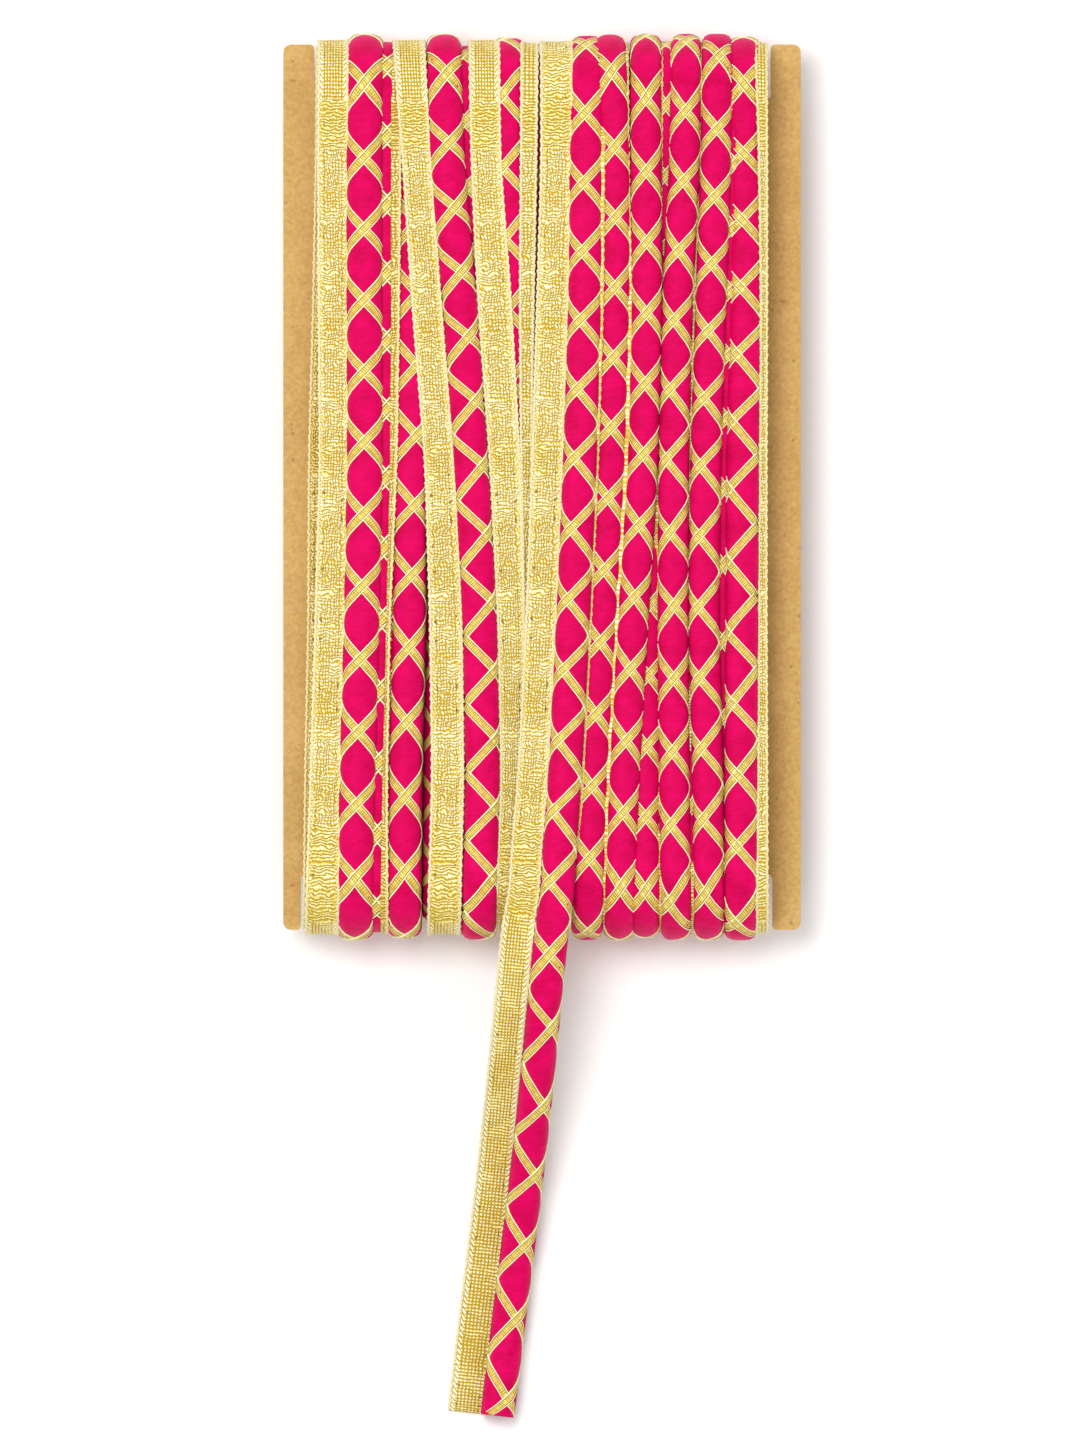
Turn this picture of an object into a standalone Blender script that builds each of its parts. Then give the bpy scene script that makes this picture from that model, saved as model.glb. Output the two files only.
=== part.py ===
"""Lace trim wound on a card: a piping trim of woven flat tape and covered piping cord, with one loose end.

The trim is wound lengthwise in two layers round a stiff card whose two ends are cut back, so that the bends of the
turns sit in the cut-backs. The last turn leaves the foot of the card as a straight loose end and sags to the surface.
The part lies on its back. +Z points up out of its front, +Y runs towards the card's head, and the origin is the middle
of the whole part's footprint, on the surface. Sizes below are in millimetres and are measured from the card's middle.
"""

import math
from collections import namedtuple

import bmesh
import bpy
from mathutils import Vector

MM = 0.001
WELD = 1e-7

# Where the card's middle stands in the part's frame.
CARD_Y = 43.75
CARD_Z = 12.0

# The winding card.
CARD_WIDTH = 95.3
CARD_LENGTH = 163.0
CARD_THICK = 2.0
CARD_CORNER = 1.4
CUTBACK_DEPTH = 10.1
CUTBACK_CORNER = 0.8
CORNER_STEPS = 4
HEAD_CUTBACK = (-41.9, 42.1)
FOOT_CUTBACK = (-44.4, 42.4)

# The trim: its piping cord, its tape, and the gap kept between pieces.
PIPING_RADIUS = 3.1
TAPE_WIDTH = 6.3
TAPE_THICK = 1.0
GAP = 0.3

# The winding follows a flat racetrack this far from the card's middle plane, bent round at +-BEND_Y.
CORE_HALF = 1.4
BEND_Y = 71.2
BEND_REACH = 12.0
FRONT_ROWS = 13
BACK_ROWS = 8
HEAD_BEND_STEPS = 8
STEP_ANGLE = 47.0
FOOT_BEND_ANGLES = (16.0, 32.0, STEP_ANGLE, 49.0, 70.0, 90.0, 112.0, 135.0, 158.0)
LAST_TURN_END = -79.0

# Heights of the crowns above the racetrack at the bends, on the back, and of what lies under the last turn.
BEND_CROWN = {"tape": 9.8, "piping": 10.75, "sliver": 9.2}
BACK_CROWN = {"tape": 9.6, "piping": 11.05, "sliver": 9.0}
UNDER_LAST_TURN = 9.4

# Each kind of strip is sampled at these fractions of its width, between its two boundary columns.
SAMPLES = {"tape": (0.08, 0.5, 0.92), "piping": (0.08, 0.28, 0.5, 0.72, 0.92), "sliver": (0.25, 0.5, 0.75)}
BOUNDARY_DROP = {"tape": 0.5, "piping": 2.4, "sliver": 1.2}
SHOULDER_DROP = {"tape": 0.15, "sliver": 0.4}
DEEPEST_FLANK = 2.0

# One row for each strip of a turn that shows on the front, from left to right. The five places are the strip's left
# edge at the stations below, and the three heights are its crown near the head, in the middle and near the foot.
STATIONS = (81.5, 34.4, -9.75, -53.9, -80.6)
HEIGHT_STATIONS = (60.0, 0.0, -60.0)
Strip = namedtuple("Strip", "name kind head upper middle lower foot high mid low")
STRIPS = (
    Strip("under_tape", "tape", -41.4, -42.2, -43.1, -43.8, -43.9, 4.8, 4.6, 4.8),
    Strip("a_tape", "tape", -41.1, -41.0, -41.2, -42.5, -43.0, 8.7, 8.6, 8.7),
    Strip("a_piping", "piping", -35.3, -35.4, -35.7, -36.4, -37.1, 11.2, 11.2, 11.2),
    Strip("between_a_b", "sliver", -29.5, -29.7, -30.0, -30.8, -31.2, 8.2, 8.2, 8.2),
    Strip("b_piping", "piping", -27.9, -27.8, -28.0, -28.9, -29.3, 8.8, 10.4, 10.6),
    Strip("c_tape", "tape", -27.3, -23.9, -21.1, -20.4, -21.0, 9.3, 9.5, 9.4),
    Strip("c_piping", "piping", -21.7, -18.2, -15.2, -14.5, -14.8, 11.2, 11.3, 11.2),
    Strip("d_tape", "tape", -15.4, -12.0, -8.9, -7.9, -8.9, 9.4, 9.6, 9.2),
    Strip("d_piping", "piping", -7.9, -6.3, -4.1, -5.2, -8.2, 10.6, 9.0, 8.6),
    Strip("e_tape", "tape", -4.0, -4.2, -3.4, -4.8, -7.7, 8.8, 8.3, 8.0),
    Strip("t_tape", "tape", -0.2, -0.9, -2.5, -4.4, -7.2, 9.6, 9.9, 10.2),
    Strip("t_piping", "piping", 5.8, 4.9, 3.5, 1.3, -1.3, 11.6, 12.6, 12.9),
    Strip("p2_piping", "piping", 11.6, 10.8, 9.4, 6.6, 5.0, 10.7, 10.7, 10.7),
    Strip("p3_piping", "piping", 15.8, 16.4, 15.3, 12.4, 11.6, 11.1, 11.2, 11.2),
    Strip("between_p3_p4", "sliver", 22.0, 21.9, 20.4, 17.5, 16.8, 8.4, 9.0, 10.6),
    Strip("p4_piping", "piping", 23.6, 22.3, 21.2, 21.7, 21.8, 11.2, 11.2, 11.2),
    Strip("p5_piping", "piping", 29.2, 28.1, 26.8, 27.2, 27.8, 11.2, 11.2, 11.2),
    Strip("between_p5_p7", "sliver", 35.4, 34.3, 32.9, 33.4, 33.6, 9.2, 9.0, 8.6),
    Strip("p7_piping", "piping", 36.9, 35.5, 34.0, 33.8, 34.0, 10.8, 11.0, 11.0),
    Strip("p7_tape", "tape", 38.9, 40.0, 39.8, 39.5, 39.2, 8.8, 8.6, 8.6),
    Strip("right_edge", "tape", 41.6, 41.6, 41.5, 41.6, 41.9, 8.6, 8.4, 8.4),
)
LAST_TURN = ("t_tape", "t_piping")

# The loose piping's centre line, from the pack to its cut end: across, along and up from the surface.
LOOSE_ROUTE = (
    (1.95, -79.8, 23.20),
    (1.45, -84.5, 23.05),
    (0.92, -90.0, 22.30),
    (0.40, -95.5, 20.85),
    (-0.12, -101.0, 18.80),
    (-0.66, -106.5, 16.30),
    (-1.22, -112.0, 13.55),
    (-1.80, -117.5, 10.85),
    (-2.40, -123.0, 8.45),
    (-3.03, -128.5, 6.45),
    (-3.69, -134.0, 4.95),
    (-4.37, -139.5, 3.95),
    (-5.07, -145.0, 3.38),
    (-5.76, -150.5, 3.14),
    (-6.44, -156.0, 3.10),
    (-7.10, -161.5, 3.10),
    (-7.74, -167.0, 3.10),
    (-8.18, -170.9, 3.10),
)
ROUTE_POINTS_BETWEEN = 2
LOOSE_BEVEL_RESOLUTION = 3
TAPE_COLUMNS = 2

PINK = (0.79, 0.0, 0.14, 1.0)
GOLD = (0.70, 0.50, 0.17, 1.0)
KRAFT = (0.60, 0.35, 0.12, 1.0)


def in_frame(x, y, z):
    """A place measured from the card's middle, and up from the surface, in the part's frame in metres."""
    return Vector((x, y + CARD_Y, z)) * MM


def material(name, colour, roughness, metallic):
    made = bpy.data.materials.new(name)
    made.use_nodes = True
    shader = made.node_tree.nodes["Principled BSDF"]
    shader.inputs["Base Color"].default_value = colour
    shader.inputs["Roughness"].default_value = roughness
    shader.inputs["Metallic"].default_value = metallic
    return made


def interpolate(value, places, results):
    """The result at value, on straight lines between places, which run downwards."""
    if value >= places[0]:
        return results[0]
    for (a, b), (low, high) in zip(zip(places, places[1:]), zip(results, results[1:])):
        if value >= b:
            return low + (high - low) * (a - value) / (a - b)
    return results[-1]


def rounded_corner(before, corner, after, radius):
    """Points of the arc that rounds one corner of an outline."""
    towards = [(Vector(end) - Vector(corner)).normalized() * radius for end in (before, after)]
    centre = Vector(corner) + towards[0] + towards[1]
    points = []
    for step in range(CORNER_STEPS + 1):
        turn = math.radians(90.0) * step / CORNER_STEPS
        points.append(centre - towards[1] * math.cos(turn) - towards[0] * math.sin(turn))
    return points


def card_corners():
    """The card's outline, anticlockwise, with the radius of each corner."""
    side, end = CARD_WIDTH / 2, CARD_LENGTH / 2
    cut = end - CUTBACK_DEPTH
    foot_left, foot_right = FOOT_CUTBACK
    head_left, head_right = HEAD_CUTBACK
    return (
        (-side, -end, CARD_CORNER),
        (foot_left, -end, CUTBACK_CORNER),
        (foot_left, -cut, CUTBACK_CORNER),
        (foot_right, -cut, CUTBACK_CORNER),
        (foot_right, -end, CUTBACK_CORNER),
        (side, -end, CARD_CORNER),
        (side, end, CARD_CORNER),
        (head_right, end, CUTBACK_CORNER),
        (head_right, cut, CUTBACK_CORNER),
        (head_left, cut, CUTBACK_CORNER),
        (head_left, end, CUTBACK_CORNER),
        (-side, end, CARD_CORNER),
    )


def winding_card(collection):
    corners = card_corners()
    points = []
    for index, (x, y, radius) in enumerate(corners):
        before, after = corners[index - 1], corners[(index + 1) % len(corners)]
        points += rounded_corner(before[:2], (x, y), after[:2], radius)
    outline = bpy.data.curves.new("winding_card", "CURVE")
    outline.dimensions = "2D"
    outline.fill_mode = "BOTH"
    outline.extrude = CARD_THICK / 2 * MM
    spline = outline.splines.new("POLY")
    spline.points.add(len(points) - 1)
    for point, place in zip(spline.points, points):
        point.co = (place.x * MM, place.y * MM, 0.0, 1.0)
    spline.use_cyclic_u = True
    card = bpy.data.objects.new("winding_card", outline)
    card.location = in_frame(0.0, 0.0, CARD_Z)
    outline.materials.append(material("kraft_board", KRAFT, 0.85, 0.0))
    collection.objects.link(card)


Row = namedtuple("Row", "y out_y out_z side share")


def winding_rows():
    """Rows round the winding: the racetrack's place, its outward direction, and how far along its side each row is."""
    rows = []
    for step in range(FRONT_ROWS):
        share = step / (FRONT_ROWS - 1)
        rows.append(Row(BEND_Y * (1 - 2 * share), 0.0, 1.0, "front", share))
    for angle in FOOT_BEND_ANGLES:
        turn = math.radians(angle)
        rows.append(Row(-BEND_Y, -math.sin(turn), math.cos(turn), "foot", angle))
    for step in range(BACK_ROWS):
        share = step / (BACK_ROWS - 1)
        rows.append(Row(BEND_Y * (2 * share - 1), 0.0, -1.0, "back", share))
    for step in range(1, HEAD_BEND_STEPS):
        angle = 180.0 - 180.0 * step / HEAD_BEND_STEPS
        turn = math.radians(angle)
        rows.append(Row(BEND_Y, math.sin(turn), math.cos(turn), "head", angle))
    return rows


def left_edge(strip, row):
    """Where the strip's left edge lies on a row. The back leads each turn from its foot to its own head."""
    places = strip[2:7]
    if row.side == "back":
        return strip.foot + (strip.head - strip.foot) * row.share
    if row.out_z < 0.0:
        return strip.foot if row.side == "foot" else strip.head
    return interpolate(row.y + BEND_REACH * row.out_y, STATIONS, places)


def crown(strip, row):
    """The strip's height above the racetrack at its middle."""
    lifted = strip.name in LAST_TURN and row.side in ("front", "foot")
    if lifted and not (row.side == "foot" and row.share > STEP_ANGLE):
        return interpolate(row.y, HEIGHT_STATIONS, (strip.high, strip.mid, strip.low))
    if lifted:
        return UNDER_LAST_TURN
    if row.side == "front":
        bend = BEND_CROWN[strip.kind]
        heights = (bend, strip.high, strip.mid, strip.low, bend)
        return interpolate(row.y, (BEND_Y, *HEIGHT_STATIONS, -BEND_Y), heights)
    return (BACK_CROWN if row.side == "back" else BEND_CROWN)[strip.kind]


def drop(kind, fraction, width):
    """How far the strip's surface lies below its crown at a fraction of its width."""
    if fraction in (0.0, 1.0):
        return BOUNDARY_DROP[kind]
    if kind in SHOULDER_DROP:
        return 0.0 if fraction == 0.5 else SHOULDER_DROP[kind]
    aside = min(abs(fraction - 0.5) * width, PIPING_RADIUS)
    return min(PIPING_RADIUS - math.sqrt(PIPING_RADIUS**2 - aside**2), DEEPEST_FLANK)


def section(row):
    """The winding's outer surface on one row: a place across, a height above the racetrack, and the strip."""
    columns = []
    edges = [left_edge(strip, row) for strip in STRIPS]
    for index, strip in enumerate(STRIPS[:-1]):
        left, width = edges[index], edges[index + 1] - edges[index]
        top = crown(strip, row)
        start = top - drop(strip.kind, 0.0, width)
        if columns:
            start = min(start, columns.pop()[1])
        columns.append((left, start, strip))
        for fraction in SAMPLES[strip.kind]:
            columns.append((left + fraction * width, top - drop(strip.kind, fraction, width), strip))
        columns.append((edges[index + 1], top - drop(strip.kind, 1.0, width), strip))
    return columns


def outer_place(row, x, height, strip):
    """A point of the winding's outer surface. The last turn runs straight on past the bend until it ends."""
    reach = CORE_HALF + height
    y, z = row.y + row.out_y * reach, CARD_Z + row.out_z * reach
    if strip.name in LAST_TURN and row.side == "foot" and row.share <= STEP_ANGLE:
        share = row.share / STEP_ANGLE
        y, z = row.y + (LAST_TURN_END - row.y) * share, CARD_Z + reach
    return in_frame(x, y, max(z, 0.0))


def wound_trim(collection):
    """One ring of all the turns: a grid shaped into its outer surface, closed round, then walled to the card."""
    rows = winding_rows()
    sections = [section(row) for row in rows]
    across, around = len(sections[0]) - 1, len(rows)
    strips = [column[2] for column in sections[0]]
    body = bmesh.new()
    bmesh.ops.create_grid(body, x_segments=across, y_segments=around, size=1.0)
    inner, column_of = {}, {}
    for vertex in body.verts:
        column = column_of[vertex] = round((vertex.co.x + 1) / 2 * across)
        row_index = round((vertex.co.y + 1) / 2 * around) % around
        row = rows[row_index]
        x, height, strip = sections[row_index][column]
        vertex.co = outer_place(row, x, height, strip)
        if column in (0, across):
            core = (row.y + row.out_y * CORE_HALF, CARD_Z + row.out_z * CORE_HALF)
            inner[vertex.co.copy().freeze()] = in_frame(x, *core)
    for face in body.faces:
        first = min(column_of[vertex] for vertex in face.verts)
        face.material_index = 0 if strips[first].kind == "tape" else 1
        face.smooth = True
    bmesh.ops.remove_doubles(body, verts=body.verts, dist=WELD)
    rims = [edge for edge in body.edges if edge.is_boundary]
    grown = bmesh.ops.extrude_edge_only(body, edges=rims)["geom"]
    for vertex in (item for item in grown if isinstance(item, bmesh.types.BMVert)):
        vertex.co = inner[vertex.co.copy().freeze()]
    bmesh.ops.bridge_loops(body, edges=[item for item in grown if isinstance(item, bmesh.types.BMEdge)])
    bmesh.ops.recalc_face_normals(body, faces=body.faces)
    mesh = bpy.data.meshes.new("wound_trim")
    body.to_mesh(mesh)
    body.free()
    mesh.materials.append(material("wound_tape", GOLD, 0.35, 0.8))
    mesh.materials.append(material("wound_piping", PINK, 0.5, 0.0))
    collection.objects.link(bpy.data.objects.new("wound_trim", mesh))


def catmull(points, index, share):
    """A point of the smooth curve through the points, at a share of the way from one to the next."""
    last = len(points) - 1
    a, b, c, d = (Vector(points[min(max(index + step, 0), last)]) for step in (-1, 0, 1, 2))
    line = (c - a) * share + (2 * a - 5 * b + 4 * c - d) * share**2 + (3 * b - a - 3 * c + d) * share**3
    return b + line / 2


def loose_centre_line():
    points = []
    for index in range(len(LOOSE_ROUTE) - 1):
        points += [catmull(LOOSE_ROUTE, index, step / ROUTE_POINTS_BETWEEN) for step in range(ROUTE_POINTS_BETWEEN)]
    return points + [Vector(LOOSE_ROUTE[-1])]


def loose_end_piping(collection):
    line = loose_centre_line()
    path = bpy.data.curves.new("loose_end_piping", "CURVE")
    path.dimensions = "3D"
    path.bevel_depth = PIPING_RADIUS * MM
    path.bevel_resolution = LOOSE_BEVEL_RESOLUTION
    path.use_fill_caps = True
    spline = path.splines.new("POLY")
    spline.points.add(len(line) - 1)
    for point, place in zip(spline.points, line):
        point.co = (*in_frame(*place), 1.0)
    path.materials.append(material("piping_satin", PINK, 0.5, 0.0))
    collection.objects.link(bpy.data.objects.new("loose_end_piping", path))


def tape_underside(centre):
    """How high the loose tape's underside lies beside the piping: level with its middle, then flat on the surface."""
    lift = (centre.z - PIPING_RADIUS) / (LOOSE_ROUTE[0][2] - PIPING_RADIUS)
    sink = PIPING_RADIUS + (TAPE_THICK / 2 - PIPING_RADIUS) * lift
    return max(centre.z - sink, 0.0)


def loose_end_tape(collection):
    """A strip beside the loose piping: a grid shaped to the tape's underside, then given its thickness."""
    line = loose_centre_line()
    strip = bmesh.new()
    bmesh.ops.create_grid(strip, x_segments=TAPE_COLUMNS, y_segments=len(line) - 1, size=1.0)
    for vertex in strip.verts:
        centre = line[round((1 - vertex.co.y) / 2 * (len(line) - 1))]
        across = (vertex.co.x + 1) / 2
        underside = tape_underside(centre)
        below = max(centre.z - underside - TAPE_THICK, 0.0)
        inner_edge = math.sqrt(max((PIPING_RADIUS + GAP) ** 2 - below**2, 0.0))
        outer_edge = PIPING_RADIUS + TAPE_WIDTH
        x = centre.x - outer_edge + (outer_edge - inner_edge) * across
        vertex.co = in_frame(x, centre.y, underside)
    bmesh.ops.recalc_face_normals(strip, faces=strip.faces)
    if sum(face.normal.z for face in strip.faces) < 0.0:
        bmesh.ops.reverse_faces(strip, faces=strip.faces)
    mesh = bpy.data.meshes.new("loose_end_tape")
    strip.to_mesh(mesh)
    strip.free()
    mesh.materials.append(material("woven_tape", GOLD, 0.35, 0.8))
    tape = bpy.data.objects.new("loose_end_tape", mesh)
    collection.objects.link(tape)
    thickness = tape.modifiers.new("thickness", "SOLIDIFY")
    thickness.thickness = TAPE_THICK * MM
    thickness.offset = 1.0


def main():
    for existing in list(bpy.data.objects):
        bpy.data.objects.remove(existing, do_unlink=True)
    collection = bpy.data.collections.new("lace_trim")
    bpy.context.scene.collection.children.link(collection)
    winding_card(collection)
    wound_trim(collection)
    loose_end_tape(collection)
    loose_end_piping(collection)


main()
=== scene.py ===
"""The looks of a lace trim wound on a card: gold woven tape, pink covered piping and a crossing net of gold ribbon.

Every turn of the trim is its own piping, tape and net of ribbons, led round the card on its own route. Sizes are in
millimetres, measured from the card's middle and up from the surface, until a mesh is made; meshes are in metres.
"""

import logging
import math
from dataclasses import dataclass, field
from enum import Enum

import bmesh
import bpy
import numpy as np
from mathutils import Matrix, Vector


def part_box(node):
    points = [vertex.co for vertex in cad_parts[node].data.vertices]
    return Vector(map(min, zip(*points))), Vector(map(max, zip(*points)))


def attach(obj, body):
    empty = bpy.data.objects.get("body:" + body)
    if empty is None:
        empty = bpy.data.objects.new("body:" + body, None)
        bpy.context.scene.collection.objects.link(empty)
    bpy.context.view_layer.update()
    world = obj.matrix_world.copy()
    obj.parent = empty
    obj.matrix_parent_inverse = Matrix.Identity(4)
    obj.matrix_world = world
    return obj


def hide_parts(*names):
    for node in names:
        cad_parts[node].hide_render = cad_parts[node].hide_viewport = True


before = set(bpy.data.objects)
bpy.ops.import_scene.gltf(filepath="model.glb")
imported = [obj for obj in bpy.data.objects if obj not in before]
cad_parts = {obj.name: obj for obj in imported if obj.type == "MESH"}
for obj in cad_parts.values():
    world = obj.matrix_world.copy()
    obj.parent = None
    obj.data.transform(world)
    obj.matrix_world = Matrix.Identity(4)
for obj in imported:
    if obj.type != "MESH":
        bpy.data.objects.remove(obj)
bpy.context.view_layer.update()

LOG = logging.getLogger("lace_trim")
MM = 0.001
CARD_LOW, CARD_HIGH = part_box("winding_card")
CARD_Y = (CARD_LOW.y + CARD_HIGH.y) / 2 / MM
CARD_Z = (CARD_LOW.z + CARD_HIGH.z) / 2 / MM

# The winding: a flat racetrack round the card's core, and the trim that is wound on it.
CORE_HALF = 1.4
BEND_Y = 71.2
BEND_RADIUS = 9.4
BEND_REACH = 12.0
STRAIGHT = 2 * BEND_Y
HALF_BEND = math.pi * BEND_RADIUS
ONE_TURN = 2 * (STRAIGHT + HALF_BEND)
PIPING_RADIUS = 3.1
RIBBON_WIDTH = 1.62
TAPE_THICK = 0.8
TAPE_WIDTH = 6.2
FULL_COLUMNS = 10
SAMPLE_STEP = 0.5
ROUTE_SMOOTHING = 22.0
SHARP = math.radians(60.0)

# The net: each ribbon runs from the front seam, round the piping, to the back seam, over one and a half pitches.
SEAM_ANGLE = -104.0
SEAM_MIDDLE = -128.0
ONE_CROSSING = 104.0
CROSSINGS_PER_RIBBON = 1.5

# Heights along a turn are given for six places: the head bend, three on the front, the foot bend and the back.
LEVEL_PLACES = (-5.0, 11.2, 71.2, 131.2, 148.0, 165.0, 180.0, 306.0)
STATIONS = (81.5, 60.2, 34.4, 5.0, -24.5, -53.9, -80.6)

Row7 = tuple[float, float, float, float, float, float, float]
Row6 = tuple[float, float, float, float, float, float]
UPPER: Row6 = (7.65, 8.1, 8.1, 8.1, 7.65, 7.95)
FLAT_TAPE: Row6 = (9.8, 9.2, 9.3, 9.2, 9.8, 9.6)


def along_from_place(y: float) -> float:
    """Where a place on the front lies along a turn.

    Args:
        y: The place's distance above the card's middle, on the pack's outer face.

    Returns:
        The distance along the turn from the head end of the flat front.
    """
    if abs(y) <= BEND_Y:
        return BEND_Y - y
    round_bend = math.asin(min((abs(y) - BEND_Y) / BEND_REACH, 1.0)) * BEND_RADIUS
    return -round_bend if y > 0 else STRAIGHT + round_bend


STATIONS_ALONG = tuple(along_from_place(y) for y in STATIONS)


class Finish(Enum):
    """The record's material slots."""

    CARD = "kraft_board"
    PIPING = "piping_satin"
    GOLD = "woven_tape"


@dataclass(frozen=True)
class Net:
    """Where a turn's front crossings lie: the first, the middle one and the last, and how many there are."""

    first: float
    middle: float
    last: float
    count: int

    def keys(self) -> tuple[list[float], list[float]]:
        """Return places along the turn and the crossing numbers there."""
        places = [along_from_place(y) for y in (self.first, self.middle, self.last)]
        return places, [0.0, (self.count - 1) / 2, float(self.count - 1)]


@dataclass(frozen=True)
class Tape:
    """How a turn's tape lies: the place across and the height of its outer and its inner edge."""

    outer: Row7
    inner: Row7
    outer_level: Row6 = FLAT_TAPE
    inner_level: Row6 = FLAT_TAPE
    columns: int = FULL_COLUMNS
    cords: tuple[float, ...] = (0.0, 1.0)
    # A pressed-in tape is given the darker woven gold, a copy painted in shade.
    pressed_and_shaded: bool = False


@dataclass(frozen=True)
class Turn:
    """One turn of the trim: its piping's place across at the seven stations, its height, its roll and its net."""

    name: str
    piping: Row7
    level: Row6 = UPPER
    roll: Row7 = (0.0,) * 7
    net: Net | None = None
    tape: Tape | None = None
    flipped: bool = False
    girth: float = 1.0
    ribbon: float = RIBBON_WIDTH


def hugging(outer: Row7, top: float, head_top: float | None = None) -> Tape:
    """A tape pushed on edge into the valley left of its piping, so that only its selvedge shows from above."""
    inner = tuple(x + 0.9 for x in outer)
    high = (9.3, top if head_top is None else head_top, top, top, 9.3, 9.2)
    low = (5.0, 4.6, 4.6, 4.6, 5.0, 5.0)
    return Tape(outer, inner, high, low, columns=4, cords=(0.0,))


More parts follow.
